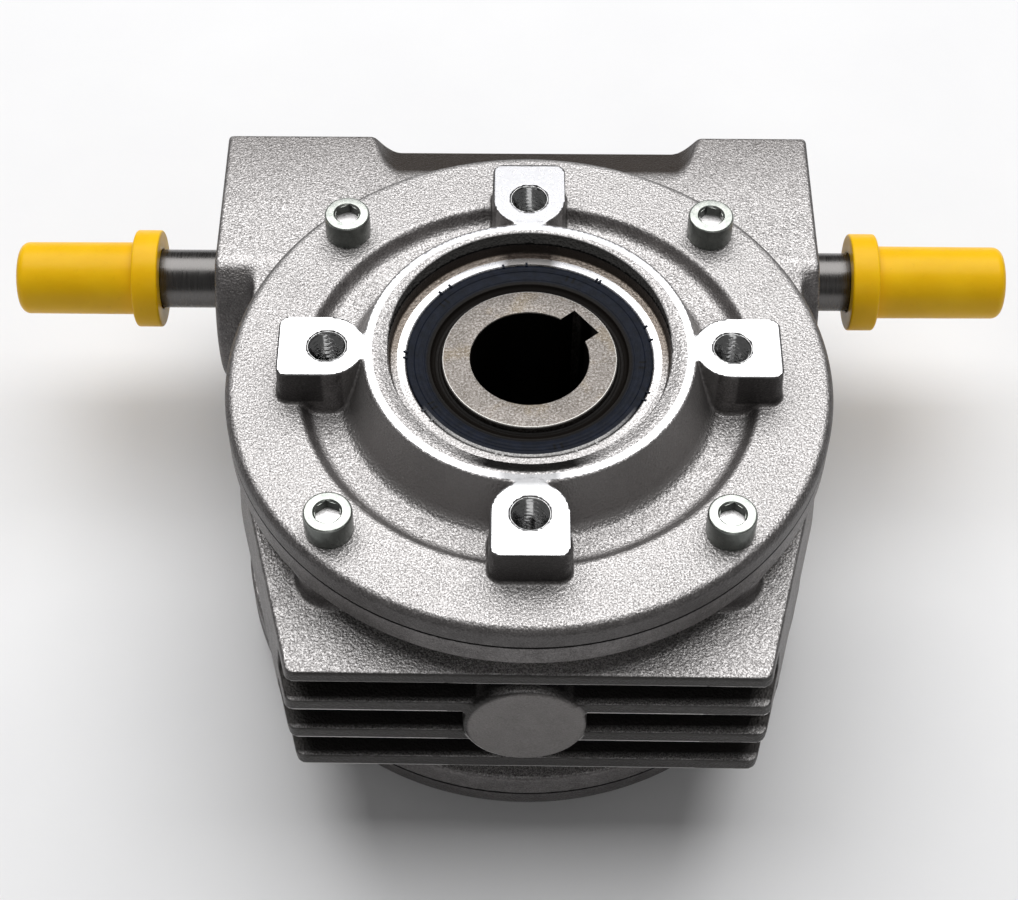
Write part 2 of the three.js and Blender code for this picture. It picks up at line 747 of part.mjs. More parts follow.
function onWormAxis(x) {
  return (geometry) => geometry.rotateY(HALF_TURN / 2).translate(x, WORM_Y, 0);
}

place("housing", geometryOf(housingSolid()), "cast");
placeBoth("cover", geometryOf(coverSolid()), "cast");
placeBoth("cover_ring", geometryOf(sealingRing()), "rubber");
placeBoth("output_seal", geometryOf(outputSeal()), "seal");

const screw = geometryOf(screwSolid());
screwSpots().forEach(([x, y], i) => {
  placeBoth(`cover_screw_${i + 1}`, screw.clone().translate(x, y, 0), "zinc");
});

place("output_hub", geometryOf(hubSolid()), "hub");
place("worm_wheel_rim", geometryOf(wheelRim()), "bronze");
placeBearing("upper_output_bearing", OUTPUT_BEARING, "steel", (g) => g.translate(0, 0, OUTPUT_BEARING_Z));
placeBearing("lower_output_bearing", OUTPUT_BEARING, "steel", (g) => g.translate(0, 0, -OUTPUT_BEARING_Z));

place("worm_shaft", geometryOf(wormShaft()).translate(0, WORM_Y, 0), "steel");
placeBearing("left_worm_bearing", WORM_BEARING, "steel", onWormAxis(WORM_BEARING_LEFT_X));
placeBearing("right_worm_bearing", WORM_BEARING, "steel", onWormAxis(WORM_BEARING_RIGHT_X));

const leftSeal = wormSeal(WORM_LEFT_X + WORM_SEAL_WIDTH + OVERLAP, WORM_LEFT_X + OVERLAP, 0);
const rightSeal = wormSeal(WORM_RIGHT_X - WORM_SEAL_WIDTH, WORM_RIGHT_X, WORM_SEAL_CONE_OUT);
place("left_worm_seal", leftSeal.translate(0, WORM_Y, 0), "seal");
place("right_worm_seal", rightSeal.translate(0, WORM_Y, 0), "seal");
place("left_shaft_cap", shaftCap(CAP_LEFT_MOUTH_X, CAP_LEFT_END_X).translate(0, WORM_Y, 0), "cap");
place("right_shaft_cap", shaftCap(CAP_RIGHT_MOUTH_X, CAP_RIGHT_END_X).translate(0, WORM_Y, 0), "cap");

export default group;
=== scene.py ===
"""Worm gearbox with a hollow output bore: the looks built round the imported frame.

Shapes are worked out in millimetres about the output axis, with z = 0 on the gear mid-plane,
and are moved to the row frame, in metres, as each mesh is made.
"""

import math

import bmesh
import bpy
import numpy as np
from mathutils import Matrix, Vector


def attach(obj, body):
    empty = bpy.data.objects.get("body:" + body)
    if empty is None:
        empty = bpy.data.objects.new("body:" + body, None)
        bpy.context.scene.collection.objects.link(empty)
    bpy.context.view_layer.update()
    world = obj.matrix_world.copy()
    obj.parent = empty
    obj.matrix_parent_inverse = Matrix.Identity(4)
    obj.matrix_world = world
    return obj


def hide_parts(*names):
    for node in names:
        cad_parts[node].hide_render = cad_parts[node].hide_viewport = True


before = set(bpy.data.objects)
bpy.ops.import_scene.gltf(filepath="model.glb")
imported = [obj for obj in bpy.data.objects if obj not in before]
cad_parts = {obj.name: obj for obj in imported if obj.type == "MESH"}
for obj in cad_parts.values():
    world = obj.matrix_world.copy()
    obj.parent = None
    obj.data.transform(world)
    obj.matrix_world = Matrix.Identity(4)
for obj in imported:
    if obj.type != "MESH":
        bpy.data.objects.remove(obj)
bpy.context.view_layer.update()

MM = 0.001
SHIFT = np.array([3.8, -10.2, 45.1])  # output axis on the mid-plane, in the row frame
TAU = 2 * math.pi

# ---- Sizes, in millimetres ----

RIM_R = 64.7  # the round rims of the covers and the housing
HALF_HEIGHT = 45.1  # from the gear mid-plane to the pads' faces
JOINT_Z = 30.3
FLANGE_Z = 36.0
RECESS_Z = 33.0
LEDGE_Z = 41.4
BORE_R = 12.5
SEAL_R = 26.0
MOUTH_R = 29.4
DISH_R = 33.1
DRUM_R = 64.6
FRONT_Y = -64.5
FEET_Y = 86.4
BLOCK_HALF = 20.5
SCREW_AT = 40.36
PAD_HOLE_PCR = 42.5
WORM_Y = 58.0
SPOTS = [(1, 1), (-1, 1), (-1, -1), (1, -1)]

# ---- Signed distances ----


def hypot(a, b):
    return np.sqrt(a * a + b * b)


def union(a, b, r=0.0):
    """a or b, with a fillet of radius r in the corner between them."""
    if r <= 0:
        return np.minimum(a, b)
    u, v = np.maximum(r - a, 0), np.maximum(r - b, 0)
    return np.maximum(r, np.minimum(a, b)) - hypot(u, v)


def inter(a, b, r):
    """a and b, with the edge between them rounded to radius r."""
    u, v = np.maximum(r + a, 0), np.maximum(r + b, 0)
    return np.minimum(-r, np.maximum(a, b)) + hypot(u, v)


def cut(a, b, r):
    return inter(a, -b, r)


def chamfered(a, b, c):
    """a and b, with the edge between them cut off at 45 degrees."""
    return np.maximum(np.maximum(a, b), (a + b + c) * math.sqrt(0.5))


def slope_line(rho, z, r0, z0, r1, z1):
    """Distance outward of the line through two (radius, z) points, taken upwards."""
    length = math.hypot(r1 - r0, z1 - z0)
    return ((rho - r0) * (z1 - z0) - (z - z0) * (r1 - r0)) / length


def slot_box(x, y, cx, cy, hx, hy, r):
    """A rounded rectangle in plan."""
    qx, qy = np.abs(x - cx) - hx + r, np.abs(y - cy) - hy + r
    return hypot(np.maximum(qx, 0), np.maximum(qy, 0)) + np.minimum(np.maximum(qx, qy), 0) - r


# ---- Meshes from distances ----

CORNERS = [(i, j, k) for i in (0, 1) for j in (0, 1) for k in (0, 1)]
EDGES = [
    (a, b)
    for a in range(8)
    for b in range(a + 1, 8)
    if sum(abs(p - q) for p, q in zip(CORNERS[a], CORNERS[b])) == 1
]


def gradient(field, p, step=0.03):
    g = np.zeros_like(p)
    for axis in range(3):
        d = np.zeros(3)
        d[axis] = step
        hi, lo = p + d, p - d
        g[:, axis] = field(*hi.T) - field(*lo.T)
    return g / (2 * step)


def unit(v):
    return v / np.maximum(np.linalg.norm(v, axis=1, keepdims=True), 1e-9)


def net_quads(inside, ids):
    """One quad for each grid edge that crosses the surface, facing outward."""
    quads = []
    for axis in range(3):
        b, c = (axis + 1) % 3, (axis + 2) % 3
        s = np.moveaxis(inside, (axis, b, c), (0, 1, 2))
        cells = np.moveaxis(ids, (axis, b, c), (0, 1, 2))
        here, there = s[:-1, 1:-1, 1:-1], s[1:, 1:-1, 1:-1]
        at = np.argwhere(here != there)
        i, j, k = at[:, 0], at[:, 1], at[:, 2]
        ring = np.stack([cells[i, j, k], cells[i, j + 1, k], cells[i, j + 1, k + 1], cells[i, j, k + 1]], 1)
        out = here[i, j, k]
        ring[~out] = ring[~out][:, ::-1]
        quads.append(ring)
    return np.concatenate(quads)


def surface_net(field, low, high, cell):
    """Points and outward quads of a distance field's zero surface."""
    low, high = np.array(low, float), np.array(high, float)
    count = np.ceil((high - low) / cell).astype(int) + 1
    x, y, z = (low[i] + cell * np.arange(count[i]) for i in range(3))
    grid = field(x[:, None, None], y[None, :, None], z[None, None, :])
    grid = np.broadcast_to(grid, count).astype(np.float32)
    inside = grid < 0
    total = np.zeros(count - 1, np.int8)
    for i, j, k in CORNERS:
        total += inside[i : count[0] - 1 + i, j : count[1] - 1 + j, k : count[2] - 1 + k]
    cells = np.argwhere((total > 0) & (total < 8))
    ids = np.full(count - 1, -1, np.int64)
    ids[tuple(cells.T)] = np.arange(len(cells))
    values = np.stack([grid[tuple((cells + c).T)] for c in CORNERS], 1).astype(float)
    where, hits = np.zeros((len(cells), 3)), np.zeros(len(cells))
    for a, b in EDGES:
        va, vb = values[:, a], values[:, b]
        crossed = (va < 0) != (vb < 0)
        t = np.where(crossed, va / np.where(crossed, va - vb, 1), 0)
        ca, cb = np.array(CORNERS[a], float), np.array(CORNERS[b], float)
        where += crossed[:, None] * (ca + t[:, None] * (cb - ca))
        hits += crossed
    points = low + cell * (cells + where / hits[:, None])
    return points, net_quads(inside, ids)


def settle(field, points, reach, rounds=2):
    """Moves points onto the zero surface, each by reach at most."""
    start = points.copy()
    for _ in range(rounds):
        g = gradient(field, points)
        step = field(*points.T)[:, None] * g / np.maximum((g * g).sum(1, keepdims=True), 0.05)
        moved = points - step - start
        length = np.linalg.norm(moved, axis=1, keepdims=True)
        points = start + moved * np.minimum(1, reach / np.maximum(length, 1e-9))
    return points


def link(data, name):
    """A new object holding this mesh, camera or light, in the scene."""
    obj = bpy.data.objects.new(name, data)
    bpy.context.scene.collection.objects.link(obj)
    return obj


def place_points(mesh, points):
    """Moves the mesh's vertices to points in millimetres about the output axis."""
    mesh.vertices.foreach_set("co", ((points + SHIFT) * MM).astype(np.float32).ravel())


def mesh_of(name, points, faces):
    """A mesh in metres in the row frame from points in millimetres about the output axis."""
    mesh = bpy.data.meshes.new(name)
    points = np.asarray(points, float)
    if isinstance(faces, np.ndarray):
        mesh.vertices.add(len(points))
        place_points(mesh, points)
        size = faces.shape[1]
        mesh.loops.add(faces.size)
        mesh.loops.foreach_set("vertex_index", faces.astype(np.int32).ravel())
        mesh.polygons.add(len(faces))
        mesh.polygons.foreach_set("loop_start", np.arange(0, faces.size, size, dtype=np.int32))
        mesh.update(calc_edges=True)
    else:
        mesh.from_pydata([tuple(p) for p in (points + SHIFT) * MM], [], faces)
    mesh.validate()
    return mesh


def local_points(mesh):
    co = np.zeros(len(mesh.vertices) * 3, np.float32)
    mesh.vertices.foreach_get("co", co)
    return co.reshape(-1, 3).astype(float) / MM - SHIFT


def smooth(mesh):
    mesh.polygons.foreach_set("use_smooth", np.ones(len(mesh.polygons), bool))


def take_normals(mesh, field):
    normals = unit(gradient(field, local_points(mesh), 0.05))
    mesh.normals_split_custom_set_from_vertices([tuple(n) for n in normals])


def cast_mesh(name, field, low, high, cell, keep_faces):
    """A cast part's mesh: netted, settled, thinned where it is flat, with the field's own normals."""
    points, quads = surface_net(field, low, high, cell)
    points = settle(field, points, 0.45 * cell)
    mesh = mesh_of(name, points, quads)
    ratio = keep_faces / (2 * len(quads))
    if ratio < 1:
        obj = link(mesh, name + "_full")
        thin = obj.modifiers.new("thin", "DECIMATE")
        thin.ratio = ratio
        seen = obj.evaluated_get(bpy.context.evaluated_depsgraph_get())
        thinned = bpy.data.meshes.new_from_object(seen)
        bpy.data.objects.remove(obj)
        bpy.data.meshes.remove(mesh)
        mesh = thinned
        mesh.name = name
    smooth(mesh)
    take_normals(mesh, field)
    return mesh


# ---- Cover ----

COVER_LOW, COVER_HIGH = (-66, -66, 19.5), (66, 66, 46)


def cover_body(rho, z):
    disc = inter(rho - RIM_R, z - FLANGE_Z, 2.3)
    disc = inter(disc, JOINT_Z - z, 0.3)
    recess = inter(slope_line(rho, z, 47.0, RECESS_Z, 48.9, FLANGE_Z), RECESS_Z - z, 1.5)
    disc = cut(disc, recess, 0.8)
    boss = inter(slope_line(rho, z, 39.3, RECESS_Z, 34.9, HALF_HEIGHT), 20.5 - z, 0.4)
    body = union(disc, boss, 2.2)
    body = chamfered(body, z - HALF_HEIGHT, 0.35)
    spigot = inter(rho - 49.6, 24 - z, 0.5)
    spigot = cut(spigot, rho - 46.0, 0.4)
    return union(body, np.maximum(spigot, z - 31.5))


def pad(x, y, z):
    """One pad at +X, half-round towards the ring and square outside, with drafted walls."""
    lean = (HALF_HEIGHT - z) * 0.03
    square = slot_box(x, y, 46.9, 0, 5.9, 8.0, 2.4)
    round_end = hypot(x - PAD_HOLE_PCR, y) - 8.0
    plan = np.minimum(square, round_end) - lean
    return np.maximum(inter(plan, z - HALF_HEIGHT, 0.25), 31.0 - z)


def cover(x, y, z):
    rho = hypot(x, y)
    body = cover_body(rho, z)
    ax, ay = np.abs(x), np.abs(y)
    far, near = np.maximum(ax, ay), np.minimum(ax, ay)
    body = union(body, pad(far, near, z), 0.9)
    body = inter(body, z - HALF_HEIGHT, 0.15)
    dish_z = HALF_HEIGHT - 0.9
    mouth = inter(slope_line(rho, z, MOUTH_R, LEDGE_Z, MOUTH_R + 0.4, dish_z), LEDGE_Z - z, 0.4)
    dish = slope_line(rho, z, MOUTH_R + 0.4, dish_z, 31.9, HALF_HEIGHT - 0.15)
    dish = np.minimum(dish, slope_line(rho, z, 31.9, HALF_HEIGHT - 0.15, DISH_R, HALF_HEIGHT))
    body = cut(body, np.minimum(mouth, dish), 0.15)
    pocket = slope_line(rho, z, SEAL_R, LEDGE_Z - 0.3, SEAL_R + 0.4, LEDGE_Z + 0.1)
    pocket = np.minimum(rho - SEAL_R, pocket)
    body = cut(body, np.maximum(pocket, 35 - z), 0.12)
    body = cut(body, np.maximum(rho - 34.2, z - 35.7), 0.3)
    groove = np.maximum(47.8 - rho, np.abs(z - 28) - 1.1)
    body = cut(body, groove, 0.2)
    hole = hypot(far - PAD_HOLE_PCR, near) - 4.05
    hole = np.minimum(hole, hole - 0.15 + (HALF_HEIGHT - z))
    body = cut(body, np.maximum(hole, 31.0 - z), 0.12)
    screw = hypot(ax - SCREW_AT, ay - SCREW_AT) - 3.3
    return cut(body, screw, 0.2)


# ---- Housing ----

HOUSING_LOW, HOUSING_HIGH = (-73.5, -66.5, -31.5), (68.5, 86.5, 31.5)
WALL_TILT = math.radians(14.3)
FIN_MIDS = (-11.5, 0.0, 11.33)


def drum_hull(x, y, z):
    """The body in plan: round at the sides, straight from there to the front, with draft."""
    ax = np.abs(x)
    straight = ax * math.cos(WALL_TILT) - y * math.sin(WALL_TILT) - DRUM_R
    arc = hypot(x, y) - DRUM_R
    past = y * math.cos(WALL_TILT) + ax * math.sin(WALL_TILT)
    side = np.where(y > 0, ax - DRUM_R, np.where(past < 0, straight, arc))
    return side + 0.072 * (np.sqrt(z * z + 0.3) - 0.5)


def front_block(x, y, z):
    body = inter(drum_hull(x, y, z), 0.0095 * (36 - x) + FRONT_Y - y, 1.6)
    body = inter(body, y - 48.0, 1.0)
    body = inter(body, np.maximum(z - 18.7, -19.3 - z), 0.8)
    for mid in FIN_MIDS:
        half = 3.97 - (y - FRONT_Y) * 0.045
        gap = inter(np.abs(z - mid) - half, y + 55.3, 1.6)
        body = cut(body, gap, 0.55)
    disc = hypot(x + 0.7, z) - 12.8 - (y + 64.9) * 0.05
    boss = inter(disc, -64.9 - 0.04 * (12 - z) - y, 1.0)
    boss = np.maximum(boss, y + 52)
    return union(body, boss, 1.0)


def worm_block(x, y, z):
    """The block round the worm: half-round in front, flat above, scooped at the back between its feet."""
    az = np.abs(z)
    block = hypot(np.minimum(y - WORM_Y, 0.0), z) - 24.0
    block = inter(block, az - BLOCK_HALF, 1.1)
    block = inter(block, y - FEET_Y, 0.8)
    block = inter(block, np.maximum(-72.5 - x, x - 67.6), 1.2)
    inward = 0.3 * (85.3 - y) + 0.8 * (BLOCK_HALF - az)
    between = np.maximum(inward - 36.9 - x, x + inward - 41.2) / 1.32
    behind = union(slope_line(y, az, 73.5, BLOCK_HALF, 84.9, 16.3), 84.9 - y, 0.5)
    return cut(block, inter(behind, between, 2.2), 0.8)


def housing(x, y, z):
    az, rho = np.abs(z), hypot(x, y)
    rims = inter(rho - RIM_R, az - JOINT_Z, 0.3)
    rims = inter(rims, 24.1 - az, 0.9)
    neck = np.maximum(rho - 56.0, az - 26)
    body = union(rims, neck, 1.8)
    lugs = hypot(np.abs(x) - SCREW_AT, np.abs(y) - SCREW_AT) - 7.4
    lugs = np.maximum(np.maximum(lugs, az - 25), 15 - az)
    body = union(body, lugs, 1.5)
    body = union(body, front_block(x, y, z), 1.8)
    body = union(body, worm_block(x, y, z), 2.5)
    body = cut(body, rho - 50.0, 0.5)
    tunnel = hypot(y - WORM_Y, z) - 17.6
    tunnel = np.minimum(tunnel, tunnel - 1.0 + (x + 72))
    tunnel = np.minimum(tunnel, hypot(y - WORM_Y, z) - 18.6 + (67 - x))
    body = cut(body, tunnel, 0.2)
    screw = hypot(np.abs(x) - SCREW_AT, np.abs(y) - SCREW_AT) - 3.2
    return cut(body, np.maximum(screw, 19 - az), 0.2)


# ---- Turned and wound pieces ----


def rounded_profile(corners):
    """Closed (radius, z, edge radius) corners to a finer list, with arcs at the rounded ones."""
    points = []
    count = len(corners)
    for n, (r, z, radius) in enumerate(corners):
        here = np.array([r, z], float)
        if radius <= 0:
            points.append(here)
            continue
        before = np.array(corners[n - 1][:2], float) - here
        after = np.array(corners[(n + 1) % count][:2], float) - here
        lb, la = np.linalg.norm(before), np.linalg.norm(after)
        half = math.acos(max(-1, min(1, float(before @ after) / (lb * la)))) / 2
        back = min(radius / math.tan(half), 0.49 * lb, 0.49 * la)
        radius = back * math.tan(half)
        start, end = here + before / lb * back, here + after / la * back
        middle = before / lb + after / la
        centre = here + middle / np.linalg.norm(middle) * math.hypot(radius, back)
        steps = max(2, min(8, int(radius / 0.25) + 3))
        a0 = math.atan2(*(start - centre)[::-1])
        a1 = math.atan2(*(end - centre)[::-1])
        turn = (a1 - a0 + math.pi) % TAU - math.pi
        for s in range(steps + 1):
            a = a0 + turn * s / steps
            points.append(centre + radius * np.array([math.cos(a), math.sin(a)]))
    return points


def circle(r, z, segments):
    angles = [TAU * s / segments for s in range(segments)]
    return [(r * math.cos(a), r * math.sin(a), z) for a in angles]


def turned(corners, segments=128):
    """Points and faces of a closed profile turned about Z. A corner on the axis closes a disc."""
    profile = rounded_profile([c if len(c) == 3 else (*c, 0) for c in corners])
    following = profile[1:] + profile[:1]
    if sum(a[0] * b[1] - b[0] * a[1] for a, b in zip(profile, following)) < 0:
        profile = profile[::-1]
    points, rows = [], []
    for r, z in profile:
        if r < 1e-6:
            rows.append([len(points)] * segments)
            points.append((0, 0, z))
            continue
        rows.append(list(range(len(points), len(points) + segments)))
        points += circle(r, z, segments)
    faces = []
    for n, row in enumerate(rows):
        above = rows[(n + 1) % len(rows)]
        if row[0] == row[1] and above[0] == above[1]:
            continue
        for s in range(segments):
            t = (s + 1) % segments
            faces.append(list(dict.fromkeys([row[s], row[t], above[t], above[s]])))
    return np.array(points), faces


def along_x(part):
    """Turns a shape made about Z so that its axis is X."""
    p = part[0]
    return np.stack([p[:, 2], p[:, 1], -p[:, 0]], 1), part[1]


def merged(*parts):
    """Several (points, faces) as one."""
    points, faces, base = [], [], 0
    for p, f in parts:
        points.append(np.asarray(p, float))
        faces += [[i + base for i in face] for face in f]
        base += len(p)
    return np.concatenate(points), faces


def shifted(part, dx=0.0, dy=0.0, dz=0.0):
    return part[0] + np.array([dx, dy, dz]), part[1]


def spun(part, angle):
    c, s = math.cos(angle), math.sin(angle)
    p = part[0]
    return np.stack([c * p[:, 0] - s * p[:, 1], s * p[:, 0] + c * p[:, 1], p[:, 2]], 1), part[1]


def turned_over(part):
    """The same shape half a turn about X."""
    return part[0] * np.array([1, -1, -1]), part[1]


def ball(radius, rings=14, segments=20):
    corners = [(0, -radius, 0)]
    for n in range(1, rings):
        a = -math.pi / 2 + math.pi * n / rings
        corners.append((radius * math.cos(a), radius * math.sin(a), 0))
    corners.append((0, radius, 0))
    return turned(corners, segments)


def bar(lx, hx, ly, hy, lz, hz):
    points = np.array([(x, y, z) for z in (lz, hz) for y in (ly, hy) for x in (lx, hx)], float)
    return points, [[0, 2, 3, 1], [4, 5, 7, 6], [0, 1, 5, 4], [2, 6, 7, 3], [0, 4, 6, 2], [1, 3, 7, 5]]


def cleaned(mesh, sharp=32.0):
    """Smooth shading, broken at edges sharper than sharp degrees."""
    smooth(mesh)
    mesh.set_sharp_from_angle(angle=math.radians(sharp))
    return mesh


def piece(name, part, material, body, slot, *nodes):
    """Makes an object from (points, faces) or a mesh, gives it its look and ties it to the frame."""
    mesh = part if isinstance(part, bpy.types.Mesh) else cleaned(mesh_of(name, *part))
    obj = link(mesh, name)
    mesh.materials.append(material)
    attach(obj, body)
    if nodes:
        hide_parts(*nodes)
    return obj


def carved(name, blank, tools):
    """A mesh of blank with the tools cut out of it. All are (points, faces)."""
    obj = link(mesh_of(name + "_blank", *blank), name + "_blank")
    helpers = []
    for n, tool in enumerate(tools):
        cutter = link(mesh_of(f"{name}_cut{n}", *tool), f"{name}_cut{n}")
        mod = obj.modifiers.new(f"cut{n}", "BOOLEAN")
        mod.operation, mod.solver, mod.object = "DIFFERENCE", "EXACT", cutter
        helpers.append(cutter)
    bpy.context.view_layer.update()
    seen = obj.evaluated_get(bpy.context.evaluated_depsgraph_get())
    mesh = bpy.data.meshes.new_from_object(seen)
    mesh.name = name
    for old in [obj, *helpers]:
        bpy.data.objects.remove(old)
    return mesh


def thread_sleeve(radius, depth, pitch, length, outer, segments=40, per_pitch=6):
    """A tapped hole's wall: a closed sleeve whose inside carries the thread, from z = -length to 0."""
    rows = int(length / pitch * per_pitch)
    points, faces = [], []
    for n in range(rows + 1):
        z = -length * n / rows
        for s in range(segments):
            phase = (z / pitch - s / segments) % 1.0
            tooth = abs(2 * phase - 1)
            r = radius - depth * min(1.0, -z / 0.9) * min(1.0, max(0.0, 1.25 * tooth - 0.12))
            a = TAU * s / segments
            points.append((r * math.cos(a), r * math.sin(a), z))
    inner = len(points)
    points += circle(outer, 0.0, segments) + circle(outer, -length, segments)
    for n in range(rows):
        for s in range(segments):
            t = (s + 1) % segments
            a, b = n * segments + s, n * segments + t
            faces.append([a, b, b + segments, a + segments])
    for s in range(segments):
        t = (s + 1) % segments
        top, low = inner, inner + segments
        last = rows * segments
        faces.append([top + s, top + t, t, s])
        faces.append([last + s, last + t, low + t, low + s])
        faces.append([low + s, low + t, top + t, top + s])
    return np.array(points), faces


# ---- Materials ----


class Nodes:
    """A material's node tree, with short ways to add what each look needs."""

    def __init__(self, name):
        self.material = bpy.data.materials.new(name)
        self.material.use_nodes = True
        self.tree = self.material.node_tree
        self.shader = self.tree.nodes["Principled BSDF"]
        self.coords = self.tree.nodes.new("ShaderNodeTexCoord").outputs["Object"]

    def set(self, **values):
        for key, value in values.items():
            self.shader.inputs[key.replace("_", " ")].default_value = value

    def join(self, out, to):
        self.tree.links.new(out, to)

    def feed(self, socket, value):
        if isinstance(value, bpy.types.NodeSocket):
            self.join(value, socket)
        else:
            socket.default_value = value

    def scaled(self, x, y, z):
        node = self.tree.nodes.new("ShaderNodeMapping")
        node.inputs["Scale"].default_value = (x, y, z)
        self.join(self.coords, node.inputs["Vector"])
        return node.outputs["Vector"]

    def noise(self, per_mm, detail=3.0, rough=0.55, vector=None, distort=0.0):
        node = self.tree.nodes.new("ShaderNodeTexNoise")
        node.inputs["Scale"].default_value = per_mm * 1000
        node.inputs["Detail"].default_value = detail
        node.inputs["Roughness"].default_value = rough
        node.inputs["Distortion"].default_value = distort
        self.join(vector if vector is not None else self.coords, node.inputs["Vector"])
        return node.outputs["Fac"]

    def cells(self, per_mm):
        node = self.tree.nodes.new("ShaderNodeTexVoronoi")
        node.inputs["Scale"].default_value = per_mm * 1000
        self.join(self.coords, node.inputs["Vector"])
        return node.outputs["Distance"]

    def band(self, value, low, high, to_low=0.0, to_high=1.0):
        """value taken from low..high to to_low..to_high, and held at the ends."""
        node = self.tree.nodes.new("ShaderNodeMapRange")
        self.feed(node.inputs["Value"], value)
        for key, v in (("From Min", low), ("From Max", high), ("To Min", to_low), ("To Max", to_high)):
            node.inputs[key].default_value = v
        return node.outputs["Result"]

    def math(self, kind, a, b=0.0, clamp=False):
        node = self.tree.nodes.new("ShaderNodeMath")
        node.operation, node.use_clamp = kind, clamp
        self.feed(node.inputs[0], a)
        self.feed(node.inputs[1], b)
        return node.outputs[0]

    def axes(self, vector):
        node = self.tree.nodes.new("ShaderNodeSeparateXYZ")
        self.join(vector, node.inputs[0])
        return node.outputs

    def times(self, a, b):
        return self.math("MULTIPLY", a, b)

    def facing(self):
        """The surface normal's X, Y and Z."""
        node = self.tree.nodes.new("ShaderNodeNewGeometry")
        return self.axes(node.outputs["Normal"])

    def edges(self):
        node = self.tree.nodes.new("ShaderNodeNewGeometry")
        return node.outputs["Pointiness"]

    def mix(self, factor, a, b):
        node = self.tree.nodes.new("ShaderNodeMix")
        node.data_type = "RGBA"
        self.feed(node.inputs["Factor"], factor)
        for socket, v in ((node.inputs[6], a), (node.inputs[7], b)):
            if isinstance(v, bpy.types.NodeSocket):
                self.join(v, socket)
            else:
                socket.default_value = (*v[:3], 1.0)
        return node.outputs[2]

    def value_mix(self, factor, a, b):
        node = self.tree.nodes.new("ShaderNodeMix")
        self.feed(node.inputs["Factor"], factor)
        self.feed(node.inputs[2], a)
        self.feed(node.inputs[3], b)
        return node.outputs[0]

    def vector_mix(self, factor, a, b):
        node = self.tree.nodes.new("ShaderNodeMix")
        node.data_type = "VECTOR"
        self.feed(node.inputs["Factor"], factor)
        self.join(a, node.inputs[4])
        self.join(b, node.inputs[5])
        return node.outputs[1]

    def colour(self, value):
        self.join(value, self.shader.inputs["Base Color"])

    def rough(self, value):
        self.join(value, self.shader.inputs["Roughness"])

    def rough_over(self, grain, low, high):
        self.rough(self.band(grain, 0.3, 0.7, low, high))

    def blotched(self, grain, dark, light):
        return self.mix(self.band(grain, 0.35, 0.65), dark, light)

    def bump(self, height, distance_mm, strength=1.0, under=None):
        node = self.tree.nodes.new("ShaderNodeBump")
        node.inputs["Strength"].default_value = strength
        node.inputs["Distance"].default_value = distance_mm * MM
        self.feed(node.inputs["Height"], height)
        if under is not None:
            self.join(under, node.inputs["Normal"])
        return node.outputs["Normal"]

    def normal(self, value):
        self.join(value, self.shader.inputs["Normal"])


def grain(n):
    """Sand-cast skin: shallow waves, packed sand grains and a fine speckle."""
    waves = n.bump(n.noise(0.12, 2.0), 0.35, 0.35)
    sand = n.bump(n.cells(1.7), 0.12, 0.9, under=waves)
    lumps = n.bump(n.noise(1.6, 2.0, 0.6), 0.16, 0.8, under=sand)
    return n.bump(n.noise(4.5, 2.0, 0.7), 0.06, 0.9, under=lumps)


def own_place(n):
    """Sets x, y and height from the output axis and mid-plane, in metres, and the radius rho."""
    axes = n.axes(n.coords)
    n.x = n.math("SUBTRACT", axes["X"], SHIFT[0] * MM)
    n.y = n.math("SUBTRACT", axes["Y"], SHIFT[1] * MM)
    n.height = n.math("ABSOLUTE", n.math("SUBTRACT", axes["Z"], SHIFT[2] * MM))
    n.rho = n.math("SQRT", n.math("ADD", n.times(n.x, n.x), n.times(n.y, n.y)))


def within(n, value, low, high, soft=0.05):
    """1 where a length lies between low and high millimetres, 0 elsewhere."""
    rise = n.band(value, (low - soft) * MM, (low + soft) * MM)
    fall = n.band(value, (high - soft) * MM, (high + soft) * MM, 1.0, 0.0)
    return n.times(rise, fall)


def zone(n, heights, radii):
    """1 where the height and the radius both lie within these (low, high, softness)."""
    return n.times(within(n, n.height, *heights), within(n, n.rho, *radii))


def below(n, value, low, high):
    """1 where a length is under low millimetres, falling to 0 at high."""
    return n.band(value, low * MM, high * MM, 1.0, 0.0)


def lit_skin_tone(n, speckle):
    """The cast skin where it lies flat, painted as lit: pale speckle on grey, pitted, and darker towards the
    feet.
    """
    tone = n.blotched(n.noise(0.045, 3.0, 0.6), (0.19, 0.181, 0.178), (0.26, 0.249, 0.245))
    tone = n.mix(n.band(speckle, 0.42, 0.60, 0.0, 0.85), tone, (0.74, 0.72, 0.715))
    pits = n.band(n.cells(1.2), 0.05, 0.2, 1.0, 0.0)
    tone = n.mix(n.times(pits, 0.7), tone, (0.06, 0.056, 0.054))
    return n.mix(n.band(n.y, 62 * MM, 88 * MM, 0.0, 0.6), tone, (0.11, 0.10, 0.096))


def shaded_wall_tone(n, speckle):
    """The cast skin on walls, in painted shade: the covers' rims and the pads' sides painted darker still,
    the boss's cone painted paler.
    """
    wall = n.blotched(n.noise(0.3, 4.0), (0.13, 0.122, 0.12), (0.19, 0.18, 0.177))
    wall = n.mix(n.band(speckle, 0.5, 0.64, 0.0, 0.4), wall, (0.32, 0.305, 0.30))
    wall = n.mix(n.band(speckle, 0.36, 0.48, 0.4, 0.0), wall, (0.06, 0.056, 0.054))
    # painted shade on the covers' rims
    cover_rim_shade = n.times(within(n, n.height, 30.6, 35, 0.3), n.band(n.rho, 63 * MM, 64 * MM))
    wall = n.mix(n.times(cover_rim_shade, 0.6), wall, (0.07, 0.066, 0.065))
    # painted light on the boss's cone
    cone = zone(n, (33.2, 45.2, 0.2), (34.5, 39.8, 0.2))
    wall = n.mix(n.times(cone, 0.75), wall, (0.34, 0.325, 0.32))
    # painted shade on the pads' sides
    pad_side_shade = zone(n, (36.6, 46, 0.3), (44, 60, 0.3))
    return n.mix(n.times(pad_side_shade, 0.8), wall, (0.045, 0.042, 0.041))


